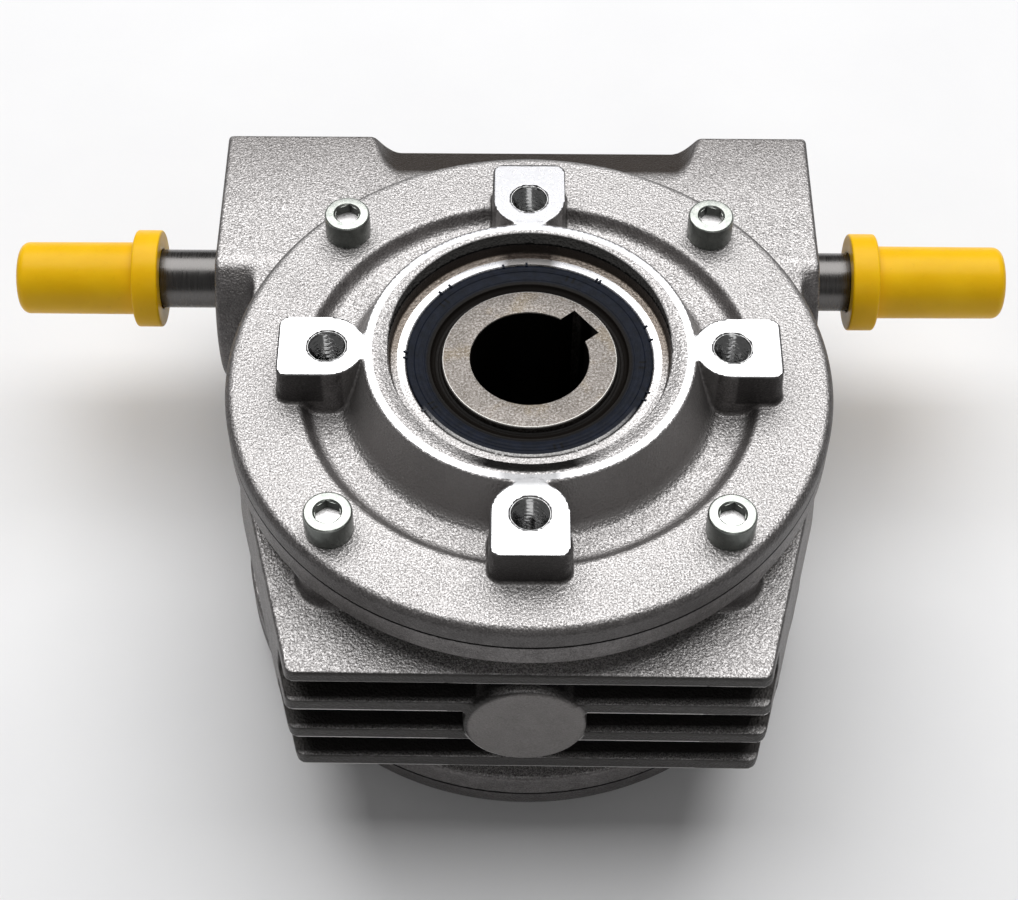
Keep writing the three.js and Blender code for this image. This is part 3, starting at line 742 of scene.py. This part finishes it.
def front_shade_and_highlight(n, wall, normal):
    """The finned front: painted shade on the fins with a painted highlight on their lower edges, and the boss
    between them painted a lighter grey.
    """
    front = below(n, n.y, -63.4, -62.6)
    from_boss = n.math("ADD", n.times(n.x, n.x), n.times(n.height, n.height))
    off_boss = n.band(n.math("SQRT", from_boss), 12.2 * MM, 12.8 * MM)
    fin_front = n.times(front, off_boss)
    boss = n.times(front, n.math("SUBTRACT", 1.0, off_boss))
    fin_heights = within(n, n.height, -1, 20)
    # painted shade on the fins' front faces
    wall = n.mix(n.times(fin_front, fin_heights), wall, (0.065, 0.062, 0.06))
    # the boss between the fins painted a lighter grey
    wall = n.mix(n.times(boss, 0.6), wall, (0.23, 0.218, 0.21))
    # painted highlight along the fins' lower edges
    lower_edge_highlight = n.times(fin_front, n.band(normal["Z"], -0.35, -0.08, 1.0, 0.0))
    return n.mix(n.times(lower_edge_highlight, fin_heights), wall, (0.95, 0.93, 0.92))


def hollow_shade_and_joint(n, tone, normal):
    """Painted shade in the grooves between the fins, painted brown shade and reflection on the scoop between
    the feet, and the dark joint line.
    """
    # painted shade in the grooves between the fins
    inside = n.times(within(n, n.y, -63.0, -54.5, 0.7), within(n, n.height, -1, 18.3, 0.15))
    across = n.band(n.math("ABSOLUTE", normal["X"]), 0.6, 0.8, 1.0, 0.0)
    tone = n.mix(n.times(inside, across), tone, (0.05, 0.047, 0.045))
    # painted brown shade and reflection on the backward-leaning scoop between the feet
    leaning = n.times(n.band(normal["Y"], 0.15, 0.33), n.band(normal["Y"], 0.55, 0.8, 1.0, 0.0))
    between_feet = n.times(within(n, n.y, 70, 86, 0.5), within(n, n.x, -42, 46, 1.0))
    tone = n.mix(n.times(leaning, between_feet), tone, (0.048, 0.037, 0.030))
    joint = zone(n, (29.95, 30.65, 0.08), (62, 66))
    return n.mix(joint, tone, (0.008, 0.007, 0.007))


def mouth_shade_tone(n, tone, dish, rear, middle):
    """Inside the ring, all painted shade: brown on the ledge's far half, darkest in its middle, dark on the
    steep wall, near black on the dish's far and near sides, and grey on the ledge's near side.
    """
    outer_ledge_shade = zone(n, (40.9, 41.7), (27.9, 29.6))
    # painted brown shade on the ledge's far half, darkest in its middle
    tone = n.mix(n.times(outer_ledge_shade, n.times(rear, 0.8)), tone, (0.20, 0.16, 0.125))
    tone = n.mix(n.times(outer_ledge_shade, middle), tone, (0.045, 0.034, 0.028))
    # painted shade on the steep mouth wall
    mouth = zone(n, (41.65, 43.95, 0.1), (28, 30.1))
    tone = n.mix(mouth, tone, (0.06, 0.05, 0.044))
    # painted shade on the dish: a crescent at the far side and a strip at the nearest side
    lean = n.math("DIVIDE", n.y, n.rho)
    crescent = below(n, n.math("SUBTRACT", n.rho, n.times(lean, 2.5 * MM)), 29.6, 30.1)
    nearest = n.times(n.band(lean, -0.96, -0.86, 1.0, 0.0), below(n, n.rho, 32.3, 32.9))
    shaded = n.times(dish, n.math("MAXIMUM", crescent, nearest))
    tone = n.mix(shaded, tone, (0.006, 0.0055, 0.005))
    # painted shade on the ledge's near side
    ledge = zone(n, (40.3, 41.7), (25, 29.6))
    near_ledge_shade = n.times(ledge, n.band(lean, -0.8, -0.3, 0.45, 0.0))
    return n.mix(near_ledge_shade, tone, (0.10, 0.096, 0.093))


def tooled_light_and_shade(n, tone, seat, rear, middle):
    """Tool-cut faces with painted light and shade: brightest at the sides, greyer far back, in front and on
    the seal's seat.
    """
    # painted light at the sides, painted shade far back and in front
    bright = n.mix(n.band(n.y, 8 * MM, 26 * MM), (0.76, 0.76, 0.77), (0.42, 0.42, 0.435))
    bright = n.mix(n.band(n.y, -38 * MM, -32 * MM, 0.6, 0.0), bright, (0.50, 0.50, 0.51))
    # painted shade on the ring's top face at the front middle
    neck = n.times(within(n, n.y, -36.5, -30, 1.5), below(n, n.math("ABSOLUTE", n.x), 5, 10))
    bright = n.mix(neck, bright, (0.22, 0.22, 0.225))
    # the seal's seat: painted light on its far half, the cast tone on its near half, painted shade in its
    # middle
    bright = n.mix(n.times(seat, n.math("SUBTRACT", 1.0, rear)), bright, tone)
    return n.mix(n.times(seat, middle), bright, (0.10, 0.095, 0.092))


def cast_look():
    """Bare cast aluminium, with painted light where it lies flat, painted shade on its walls, a painted
    highlight on sharp edges, and tool-cut faces.
    """
    n = Nodes("cast_aluminium")
    n.set(Metallic=0.82, IOR=1.5)
    own_place(n)
    normal = n.facing()
    dish = zone(n, (43.9, 46), (29.5, 33.05))
    flat = n.math("MAXIMUM", n.band(n.math("ABSOLUTE", normal["Z"]), 0.80, 0.97), dish)
    pad_face = zone(n, (44.98, 46), (33.05, 60))
    seat = zone(n, (40.3, 41.7), (25, 27.9))
    tooled = n.math("MAXIMUM", pad_face, seat, clamp=True)
    speckle = n.noise(2.8, 3.0, 0.75)
    wall = front_shade_and_highlight(n, shaded_wall_tone(n, speckle), normal)
    # painted light and shade: flat faces take the lit skin tone, walls the darker shaded wall tone
    tone = n.mix(flat, wall, lit_skin_tone(n, speckle))
    # painted highlight on sharp convex edges
    tone = n.mix(n.band(n.edges(), 0.53, 0.6, 0.0, 0.3), tone, (0.7, 0.69, 0.68))
    tone = hollow_shade_and_joint(n, tone, normal)
    rear = n.band(n.y, -7 * MM, 3 * MM)
    middle = n.times(below(n, n.math("ABSOLUTE", n.x), 4.5, 7), rear)
    tone = mouth_shade_tone(n, tone, dish, rear, middle)
    bright = tooled_light_and_shade(n, tone, seat, rear, middle)
    n.colour(n.mix(tooled, tone, bright))
    cast_rough = n.band(speckle, 0.3, 0.7, 0.55, 0.38)
    tooled_rough = n.band(n.noise(1.0), 0.3, 0.7, 0.24, 0.36)
    n.rough(n.value_mix(tooled, cast_rough, tooled_rough))
    lines = n.math("SINE", n.times(n.rho, TAU / (0.28 * MM)))
    n.normal(n.vector_mix(tooled, grain(n), n.bump(lines, 0.006, 0.5)))
    return n.material


def thread_look():
    """The bare walls of the tapped holes."""
    n = Nodes("tapped_aluminium")
    n.set(Metallic=1.0)
    n.colour(n.mix(n.noise(2.0), (0.40, 0.40, 0.40), (0.58, 0.58, 0.58)))
    n.rough_over(n.noise(3.0), 0.10, 0.18)
    n.normal(n.bump(n.noise(5.0), 0.01, 0.6))
    return n.material


def metal_look(name, dark, light, rough_low, rough_high, bump=0.01):
    n = Nodes(name)
    n.set(Metallic=1.0)
    n.colour(n.blotched(n.noise(0.15, 4.0, 0.6), dark, light))
    n.rough_over(n.noise(2.5, 3.0, 0.65), rough_low, rough_high)
    n.normal(n.bump(n.noise(5.0, 3.0), bump, 0.7))
    return n.material


def zinc_look():
    """Zinc-plated steel: greenish blotches on top, painted shade on the sides and a painted highlight on the
    socket floor.
    """
    n = Nodes("zinc_plate")
    n.set(Metallic=1.0)
    tone = n.blotched(n.noise(0.5, 4.0, 0.65), (0.30, 0.32, 0.30), (0.47, 0.485, 0.455))
    tone = n.mix(n.band(n.noise(3.0, 2.0), 0.55, 0.7, 0, 0.5), tone, (0.22, 0.245, 0.225))
    own_place(n)
    up = n.math("ABSOLUTE", n.facing()["Z"])
    # painted shade on the screw heads' sides
    tone = n.mix(n.band(up, 0.2, 0.5, 0.8, 0.0), tone, (0.075, 0.081, 0.075))
    # painted highlight on the socket floor
    socket = n.times(within(n, n.height, 38.6, 39.9), n.band(up, 0.6, 0.9))
    n.colour(n.mix(socket, tone, (0.92, 0.90, 0.90)))
    n.rough_over(n.noise(2.5, 3.0, 0.65), 0.26, 0.42)
    n.normal(n.bump(n.noise(4.0, 3.0), 0.02, 0.7))
    return n.material


def hub_look():
    """Turned grey steel with fine speckle, brown staining, a bright top edge and painted shade in the bore.
    """
    n = Nodes("hub_steel")
    n.set(Metallic=0.95)
    stain = n.noise(0.22, 4.0, 0.6, distort=0.6)
    tone = n.mix(n.band(stain, 0.42, 0.62), (0.145, 0.132, 0.121), (0.20, 0.183, 0.17))
    tone = n.mix(n.band(n.noise(0.16, 3.0), 0.52, 0.66, 0, 0.5), tone, (0.17, 0.135, 0.085))
    grit = n.noise(2.0, 4.0, 0.8)
    tone = n.mix(n.band(grit, 0.38, 0.50, 0.85, 0.0), tone, (0.055, 0.044, 0.034))
    tone = n.mix(n.band(grit, 0.52, 0.64, 0.0, 0.85), tone, (0.40, 0.38, 0.365))
    own_place(n)
    edge = zone(n, (40.9, 41.6), (18.2, 18.7))
    tone = n.mix(edge, tone, (0.62, 0.60, 0.57))
    # painted shade in the bore
    bore = zone(n, (-1, 41.15, 0.1), (-1, 15.9))
    n.colour(n.mix(bore, tone, (0.02, 0.018, 0.016)))
    lines = n.math("SINE", n.times(n.rho, TAU / (0.22 * MM)))
    n.rough_over(n.noise(2.0, 3.0), 0.38, 0.52)
    n.normal(n.bump(n.noise(3.5, 3.0), 0.05, 0.8, under=n.bump(lines, 0.006, 0.6)))
    return n.material


def shaft_look():
    """Ground steel with fine rings round the shaft and long blurred streaks."""
    n = Nodes("ground_shaft")
    n.set(Metallic=1.0)
    rings = n.noise(1.0, 2.0, vector=n.scaled(3.0, 0.15, 0.15))
    n.colour(n.mix(rings, (0.105, 0.10, 0.097), (0.15, 0.145, 0.142)))
    n.rough_over(rings, 0.24, 0.34)
    n.normal(n.bump(rings, 0.006, 0.6))
    return n.material


def rubber_look(name, dark, light, middle_rough):
    n = Nodes(name)
    n.set(Metallic=0.0, IOR=1.5, Specular_IOR_Level=0.15)
    n.colour(n.blotched(n.noise(0.6, 4.0), dark, light))
    n.rough_over(n.noise(3.0, 3.0), middle_rough - 0.08, middle_rough + 0.1)
    n.normal(n.bump(n.noise(4.0, 3.0), 0.02, 0.7))
    return n.material


def seal_look():
    """Dark navy rubber with pairs of moulded marks, a painted highlight on the near side of its outer edge,
    and a nearly black lip.
    """
    n = Nodes("seal_rubber")
    n.set(Metallic=0.0, IOR=1.5, Specular_IOR_Level=0.1)
    own_place(n)
    tone = n.blotched(n.noise(0.6, 4.0), (0.0018, 0.0034, 0.008), (0.0045, 0.0072, 0.016))
    turn = n.times(n.math("ARCTAN2", n.y, n.x), 5 / TAU)
    part = n.math("FRACT", n.math("ADD", turn, 10.13))
    first = n.times(n.band(part, 0.040, 0.046), n.band(part, 0.058, 0.064, 1.0, 0.0))
    second = n.times(n.band(part, 0.090, 0.096), n.band(part, 0.108, 0.114, 1.0, 0.0))
    marks = n.times(n.math("MAXIMUM", first, second), within(n, n.rho, 23.0, 24.6))
    tone = n.mix(marks, tone, (0.0006, 0.0008, 0.0015))
    # painted highlight along the near side of the seal's outer edge
    edge_highlight_tone = n.mix(n.band(n.noise(2.8, 3.0, 0.75), 0.42, 0.6), (0.26, 0.255, 0.25), (0.62, 0.61, 0.60))
    near_edge_highlight = n.times(n.band(n.rho, 25.2 * MM, 25.35 * MM), within(n, n.height, 40.5, 42))
    near_edge_highlight = n.times(near_edge_highlight, n.band(n.math("DIVIDE", n.y, n.rho), -0.85, -0.5, 1.0, 0.0))
    tone = n.mix(near_edge_highlight, tone, edge_highlight_tone)
    lip = below(n, n.rho, 21.4, 22.1)
    n.colour(n.mix(n.times(lip, within(n, n.height, 34, 42)), tone, (0.004, 0.0028, 0.002)))
    n.rough_over(n.noise(3.0, 3.0), 0.42, 0.6)
    rings = n.math("SINE", n.times(n.rho, TAU / (0.9 * MM)))
    n.normal(n.bump(n.noise(4.0, 3.0), 0.02, 0.7, under=n.bump(rings, 0.03, 0.6)))
    return n.material


def cap_look():
    """Soft yellow plastic, a little waxy, with faint moulding waves."""
    n = Nodes("yellow_plastic")
    n.set(Metallic=0.0, IOR=1.46, Specular_IOR_Level=0.18, Subsurface_Weight=0.1, Subsurface_Scale=0.004)
    n.shader.inputs["Subsurface Radius"].default_value = (1.0, 0.6, 0.15)
    tone = n.blotched(n.noise(0.08, 3.0), (0.82, 0.46, 0.004), (0.88, 0.51, 0.007))
    tone = n.mix(n.band(n.noise(0.7, 4.0), 0.62, 0.75, 0, 0.25), tone, (0.68, 0.36, 0.003))
    n.colour(tone)
    n.rough_over(n.noise(0.9, 4.0), 0.30, 0.42)
    waves = n.bump(n.noise(0.16, 2.0), 0.18, 0.5)
    n.normal(n.bump(n.noise(3.0, 3.0), 0.012, 0.6, under=waves))
    return n.material


CAST = cast_look()
TAPPED = thread_look()
ZINC = zinc_look()
HUB = hub_look()
SHAFT = shaft_look()
BEARING = metal_look("bearing_steel", (0.55, 0.55, 0.56), (0.68, 0.68, 0.69), 0.12, 0.22, 0.004)
CAGE = metal_look("cage_steel", (0.38, 0.38, 0.38), (0.52, 0.51, 0.5), 0.3, 0.42, 0.01)
BRONZE = metal_look("wheel_bronze", (0.58, 0.33, 0.12), (0.70, 0.43, 0.17), 0.22, 0.36, 0.01)
SEAL = seal_look()
RING = rubber_look("ring_rubber", (0.012, 0.012, 0.013), (0.03, 0.03, 0.032), 0.5)
CAP = cap_look()

# ---- Covers, housing and screws ----

CASE = "gear_case"


def turn_mesh_over(mesh, name):
    """The cover's mesh turned half a turn about X, for the other side."""
    copy = mesh.copy()
    copy.name = name
    place_points(copy, local_points(mesh) * np.array([1, -1, -1]))
    copy.update()
    take_normals(copy, lambda x, y, z: cover(x, -y, -z))
    return copy


def cover_pieces():
    cell, faces = ((0.42, 150000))
    upper = cast_mesh("upper_cover_casting", cover, COVER_LOW, COVER_HIGH, cell, faces)
    lower = turn_mesh_over(upper, "lower_cover_casting")
    piece("upper_cover_casting", upper, CAST, CASE, "cast_case", "upper_cover")
    piece("lower_cover_casting", lower, CAST, CASE, "cast_case", "lower_cover")
    sleeve = thread_sleeve(3.98, 0.62, 1.25, 13.6, 4.6)
    sleeve = shifted(sleeve, PAD_HOLE_PCR, 0, HALF_HEIGHT - 0.3)
    for n in range(4):
        threads = spun(sleeve, n * TAU / 4)
        piece(f"upper_pad_thread_{n + 1}", threads, TAPPED, CASE, "cast_case")
        piece(f"lower_pad_thread_{n + 1}", turned_over(threads), TAPPED, CASE, "cast_case")


def housing_piece():
    cell, faces = ((0.5, 190000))
    mesh = cast_mesh("housing_casting", housing, HOUSING_LOW, HOUSING_HIGH, cell, faces)
    piece("housing_casting", mesh, CAST, CASE, "cast_case", "housing")


def hex_prism(flats, low, high):
    r = flats / 2 / math.cos(math.pi / 6)
    points = circle(r, low, 6) + circle(r, high, 6)
    faces = [[5, 4, 3, 2, 1, 0], [6, 7, 8, 9, 10, 11]]
    faces += [[k, (k + 1) % 6, 6 + (k + 1) % 6, 6 + k] for k in range(6)]
    return np.array(points), faces


def screw_mesh():
    """Socket-head cap screw standing on the cover's flange."""
    top = FLANGE_Z + 6.2
    head = [
        (0, FLANGE_Z - 15.6), (2.4, FLANGE_Z - 15.6), (2.9, FLANGE_Z - 15.0), (2.9, FLANGE_Z + 0.02),
        (5.0, FLANGE_Z + 0.02, 0.25), (5.0, top, 0.55), (0, top),
    ]
    knurled, faces = turned(head, 96)
    angle = np.arctan2(knurled[:, 1], knurled[:, 0])
    rho = hypot(knurled[:, 0], knurled[:, 1])
    on_side = (rho > 4.9) & (knurled[:, 2] > FLANGE_Z + 0.5) & (knurled[:, 2] < top - 0.5)
    knurled[on_side, :2] *= (1 + 0.004 * np.cos(angle * 48)[on_side])[:, None]
    socket = hex_prism(5.05, top - 2.6, top + 0.5)
    cone = turned([(0, top - 0.42), (2.62, top - 0.42), (3.3, top + 0.3), (0, top + 0.3)], 48)
    drill = turned([(0, top - 3.1), (2.45, top - 2.6), (2.45, top - 2.0), (0, top - 2.0)], 48)
    return cleaned(carved("cover_screw", (knurled, faces), [socket, cone, drill]), 28)


def screw_pieces():
    rng = np.random.default_rng(7)
    base = screw_mesh()
    for end in ("upper", "lower"):
        for n, (sx, sy) in enumerate(SPOTS):
            mesh = base.copy()
            screw = spun((local_points(base), None), rng.uniform(0, TAU))
            screw = shifted(screw, sx * SCREW_AT, sy * SCREW_AT)
            screw = screw if end == "upper" else turned_over(screw)
            place_points(mesh, screw[0])
            mesh.update()
            piece(f"{end}_cap_screw_{n + 1}", mesh, ZINC, CASE, "zinc_steel", f"{end}_cover_screw_{n + 1}")


def seal_part():
    """Oil seal: steel-backed rim with small nubs, a flat rubber face, and a lip that leans on the hub."""
    top = LEDGE_Z - 0.12
    rim = turned([
        (SEAL_R - 0.1, top - 5.2, 0.3), (SEAL_R - 0.05, top, 0.25), (24.4, top, 0.2), (24.2, top - 0.12, 0.1),
        (22.2, top - 0.25, 0.3), (22.0, top - 0.38, 0.1), (21.0, top - 0.45, 0.3), (20.7, top - 0.9, 0.3),
        (19.9, top - 1.5, 0.25), (19.4, top - 1.6, 0.3), (18.62, top - 1.2, 0.12), (19.6, top - 5.2, 0.2),
    ], 160)
    parts = [rim]
    rng = np.random.default_rng(11)
    for k in range(9):
        for offset in (-0.05, 0.05):
            nub = bar(25.7, 26.7, -0.24, 0.24, top - 0.4, top + 0.22)
            parts.append(spun(nub, TAU * k / 9 + offset + 0.29 + rng.uniform(-0.06, 0.06)))
    return merged(*parts)


def seal_pieces():
    seal = seal_part()
    piece("upper_oil_seal", seal, SEAL, CASE, "seal_rubber", "upper_output_seal")
    piece("lower_oil_seal", turned_over(seal), SEAL, CASE, "seal_rubber", "lower_output_seal")
    section = [(48.78 + 0.82 * math.cos(a), 28 + 0.82 * math.sin(a)) for a in np.arange(16) * TAU / 16]
    cord = turned(section, 128)
    piece("upper_joint_ring", cord, RING, CASE, "ring_rubber", "upper_cover_ring")
    piece("lower_joint_ring", turned_over(cord), RING, CASE, "ring_rubber", "lower_cover_ring")


# ---- Bearings ----


def bearing(inner, outer, width, ball_r, balls):
    """(outer ring, inner ring, balls and cage) about Z, centred on z = 0."""
    pitch, half = (inner + outer) / 2, width / 2
    land = ball_r * 0.62
    arc = [(math.cos(a), math.sin(a)) for a in np.linspace(-math.acos(0.62), math.acos(0.62), 9)]
    rise = ball_r + 0.12
    out = [(outer, -half, 0.5), (outer, half, 0.5), (pitch + land, half, 0.2)]
    out += [(pitch + rise * c, rise * s) for c, s in arc][::-1]
    out += [(pitch + land, -half, 0.2)]
    inn = [(inner, -half, 0.5), (pitch - land, -half, 0.2)]
    inn += [(pitch - rise * c, rise * s) for c, s in arc]
    inn += [(pitch - land, half, 0.2), (inner, half, 0.5)]
    wall = ball_r * 0.16
    cage = turned([
        (pitch - wall, -ball_r * 0.75, 0.1), (pitch + wall, -ball_r * 0.75, 0.1),
        (pitch + wall, ball_r * 0.75, 0.1), (pitch - wall, ball_r * 0.75, 0.1),
    ], 96)
    spheres = [spun(shifted(ball(ball_r), pitch), TAU * k / balls) for k in range(balls)]
    return turned(out, 96), turned(inn, 96), merged(cage, *spheres)


def place_bearing(end, kind, parts, inner_body):
    outer, inner, balls = parts
    node = f"{end}_{kind}_bearing"
    piece(f"{node}_race", outer, BEARING, CASE, "bearing_steel", f"{node}_outer_ring")
    piece(f"{node}_cone", inner, BEARING, inner_body, "bearing_steel", f"{node}_inner_ring")
    piece(f"{node}_balls", balls, CAGE, f"{end}_{kind}_balls", "cage_steel", f"{node}_ball_set")


def bearing_pieces():
    output = bearing(20.1, 33.9, 15, 3.7, 9)
    for end, z in (("upper", 28.0), ("lower", -28.0)):
        place_bearing(end, "output", [shifted(p, dz=z) for p in output], "output_drive")
    worm = bearing(8.55, 17.4, 10, 2.3, 7)
    for end, x in (("left", -59.0), ("right", 54.0)):
        place_bearing(end, "worm", [shifted(along_x(p), x, WORM_Y) for p in worm], "worm_drive")


# ---- Hub, wheel and worm ----


def hub_piece():
    half = [
        (35.8, 8.0, 0.5), (24.5, 8.0, 2.0), (23.4, 20.2, 0.4), (20.0, 20.3, 0.3), (20.0, 35.5, 0.4),
        (18.5, 35.9, 0.3), (18.5, 41.4, 0.35), (BORE_R + 0.15, 41.4, 0.02), (BORE_R, 41.2, 0.02),
    ]
    low = [(r, -z, e) for r, z, e in half[::-1]]
    blank = turned(low + half, 192)
    key = spun(bar(8.0, 15.8, -4.0, 4.0, -44, 44), math.radians(39.5))
    mesh = cleaned(carved("hollow_hub", blank, [key]), 30)
    piece("hollow_hub", mesh, HUB, "output_drive", "hub_steel", "output_hub")


def wheel_piece():
    """Bronze rim with 30 throated, slightly twisted teeth."""
    teeth, half, rows = 30, 12.0, 9
    twist = 1.5 / 13.0 / 45.0
    flank = [(41.4, 3.35), (42.4, 2.95), (43.6, 2.55), (45.0, 2.1), (46.4, 1.6), (47.6, 1.15), (48.0, 0.95)]
    ring = []
    for k in range(teeth):
        base = TAU * k / teeth
        ring += [(r, base - w / r) for r, w in flank] + [(r, base + w / r) for r, w in flank[::-1]]
    points, faces = [], []
    for row in range(rows):
        z = -half + 2 * half * row / (rows - 1)
        for r, a in ring:
            throat = 58.0 - math.sqrt(max(10.0**2 - z * z * 0.55, 1.0)) if r > 44 else r
            radius = max(r, min(r + (throat - 48.0), 49.0)) if r > 44 else r
            edge = min(radius, 46.9) if abs(z) > half - 0.1 else radius
            points.append((edge * math.cos(a + z * twist), edge * math.sin(a + z * twist), z))
        points += [(36.0 * math.cos(a), 36.0 * math.sin(a), z) for _, a in ring]
    n = len(ring)
    for row in range(rows - 1):
        lo, hi = 2 * n * row, 2 * n * (row + 1)
        for s in range(n):
            t = (s + 1) % n
            faces.append([lo + s, lo + t, hi + t, hi + s])
            faces.append([lo + n + t, lo + n + s, hi + n + s, hi + n + t])
    top = 2 * n * (rows - 1)
    for s in range(n):
        t = (s + 1) % n
        faces.append([t, s, n + s, n + t])
        faces.append([top + s, top + t, top + n + t, top + n + s])
    piece("bronze_wheel", (np.array(points), faces), BRONZE, "output_drive", "bronze", "worm_wheel_rim")


def worm_thread():
    """The worm's single thread as a closed strip that fades into the core at both ends."""
    turns, per_turn = 4.0, 48
    flank = [(3.1, 8.9), (1.95, 12.6), (0.95, 15.6), (0.6, 16.0)]
    section = [(-u, r) for u, r in flank] + flank[::-1]
    count = int(turns * per_turn)
    points, faces = [], []
    for n in range(count + 1):
        wound = (n / count - 0.5) * turns
        height = min(1.0, 0.06 + (turns / 2 - abs(wound)) / 0.4)
        a = wound * TAU + math.pi
        for u, r in section:
            radius = 8.6 + (r - 8.6) * height
            points.append((u + 1.5 * wound * TAU, radius * math.cos(a), radius * math.sin(a)))
    k = len(section)
    for n in range(count):
        for s in range(k):
            t = (s + 1) % k
            faces.append([n * k + s, n * k + t, (n + 1) * k + t, (n + 1) * k + s])
    faces += [list(range(k))[::-1], [count * k + s for s in range(k)]]
    return np.array(points), [f[::-1] for f in faces]


def worm_piece():
    profile = [
        (0, -119.0), (7.0, -119.0, 0.8), (7.0, -64.2, 0.2), (8.5, -64.0, 0.3), (8.5, -53.9, 0.2),
        (10.6, -53.8, 0.4), (10.6, -40.0, 0.5), (9.3, -38.0, 1.0), (9.3, 38.0, 1.0), (10.6, 40.0, 0.5),
        (10.6, 48.8, 0.4), (8.5, 48.9, 0.2), (8.5, 59.0, 0.3), (7.0, 59.2, 0.2), (7.0, 111.0, 0.8),
        (0, 111.0),
    ]
    blank = along_x(turned(profile, 112))
    keyways = [bar(low, low + 20.0, -2.5, 2.5, 4.0, 9.0) for low in (-116.0, 88.0)]
    mesh = cleaned(carved("worm_shaft_core", blank, keyways), 30)
    mesh.transform(Matrix.Translation((0, WORM_Y * MM, 0)))
    strip = mesh_of("worm_thread", *shifted(worm_thread(), 0, WORM_Y, 0))
    cleaned(strip, 30)
    joined = bmesh.new()
    joined.from_mesh(mesh)
    joined.from_mesh(strip)
    joined.to_mesh(mesh)
    joined.free()
    piece("worm_and_shaft", mesh, SHAFT, "worm_drive", "shaft_steel", "worm_shaft")


def worm_seal_pieces():
    left = turned([
        (17.4, -71.0, 0.4), (17.4, -65.2, 0.3), (7.6, -65.2, 0.2), (7.12, -68.0, 0.15), (7.8, -70.2, 0.3),
        (9.4, -70.6, 0.4), (10.0, -69.8, 0.3), (13.2, -69.8, 0.3), (13.8, -71.0, 0.4),
    ], 112)
    right = turned([
        (17.4, 61.2, 0.3), (17.4, 66.9, 0.4), (13.8, 66.9, 0.4), (13.2, 65.9, 0.3), (10.4, 65.9, 0.4),
        (9.3, 67.0, 0.4), (7.7, 69.1, 0.25), (7.12, 68.6, 0.15), (7.6, 61.2, 0.2),
    ], 112)
    for end, part in (("left", left), ("right", right)):
        placed = shifted(along_x(part), dy=WORM_Y)
        piece(f"{end}_lip_seal", placed, SEAL, CASE, "seal_rubber", f"{end}_worm_seal")


def cap_part(length, collar):
    """Push-on cap from its open collar at z = 0 to its rounded end at z = length."""
    return turned([
        (7.25, 0, 0.3), (11.65, 0, 0.55), (11.65, collar, 0.6), (8.7, collar, 0.45), (8.6, length, 2.2),
        (3.6, length, 0.3), (3.3, length - 0.35, 0.2), (0, length - 0.35), (0, length - 1.7),
        (6.6, length - 1.7, 0.8), (7.2, length - 4, 0.5),
    ], 144)


def cap_pieces():
    right = shifted(along_x(cap_part(37.2, 6.4)), 77.4, WORM_Y)
    piece("right_yellow_cap", right, CAP, "right_cap", "cap_plastic", "right_shaft_cap")
    points, faces = along_x(cap_part(34.3, 6.2))
    left = shifted((points * np.array([-1, 1, 1]), [f[::-1] for f in faces]), -87.9, WORM_Y)
    piece("left_yellow_cap", left, CAP, "left_cap", "cap_plastic", "left_shaft_cap")


# ---- Stage ----


def camera():
    """The photograph's camera: 53 degrees above the horizon, seen from the finned front."""
    data = bpy.data.cameras.new("camera")
    data.sensor_fit, data.sensor_width, data.lens = "HORIZONTAL", 36.0, 75.57
    cam = link(data, "camera")
    down, yaw, roll = math.radians(53.20), math.radians(0.17), 0.0078
    ahead = Vector((math.sin(yaw) * math.cos(down), math.cos(yaw) * math.cos(down), -math.sin(down)))
    right = Vector((math.cos(yaw), -math.sin(yaw), 0))
    up = right.cross(ahead)
    across = right * math.cos(roll) + up * math.sin(roll)
    upward = up * math.cos(roll) - right * math.sin(roll)
    cam.matrix_world = Matrix((across, upward, -ahead)).transposed().to_4x4()
    at = np.array([-5.03, -285.06, 353.97 + FLANGE_Z]) + SHIFT
    cam.location = Vector(at * MM)
    data.clip_start, data.clip_end = 0.01, 10
    bpy.context.scene.camera = cam


def area_light(name, at, toward, wide, deep, power):
    data = bpy.data.lights.new(name, "AREA")
    data.shape = "RECTANGLE"
    data.size, data.size_y, data.energy = wide, deep, power
    obj = link(data, name)
    obj.location = Vector(at)
    obj.rotation_mode = "QUATERNION"
    obj.rotation_quaternion = (Vector(toward) - Vector(at)).to_track_quat("-Z", "Y")


def stage():
    mesh = bpy.data.meshes.new("floor")
    reach = 6.0
    corners = [(-reach, -reach, 0), (reach, -reach, 0), (reach, reach, 0), (-reach, reach, 0)]
    mesh.from_pydata(corners, [], [(0, 1, 2, 3)])
    floor = link(mesh, "floor")
    n = Nodes("paper_floor")
    n.set(Metallic=0.0)
    n.colour(n.mix(n.noise(0.02, 3.0), (0.80, 0.80, 0.81), (0.86, 0.86, 0.865)))
    n.rough_over(n.noise(0.5), 0.75, 0.9)
    n.normal(n.bump(n.noise(0.5), 0.05, 0.4))
    mesh.materials.append(n.material)
    world = bpy.data.worlds.new("studio")
    bpy.context.scene.world = world
    world.use_nodes = True
    sky = world.node_tree.nodes["Background"]
    sky.inputs["Color"].default_value = (1.0, 1.0, 1.0, 1)
    sky.inputs["Strength"].default_value = 0.13
    area_light("key_overhead", (0.0, 0.41, 1.07), (0, 0, 0.05), 1.5, 1.1, 18.5)
    area_light("front_window", (0.1, -0.85, 0.70), (0, 0, 0.05), 0.5, 0.5, 0.7)
    bpy.context.scene.view_settings.view_transform = "Standard"


def build():
    camera()
    cover_pieces()
    housing_piece()
    screw_pieces()
    seal_pieces()
    bearing_pieces()
    hub_piece()
    wheel_piece()
    worm_piece()
    worm_seal_pieces()
    cap_pieces()
    stage()


build()
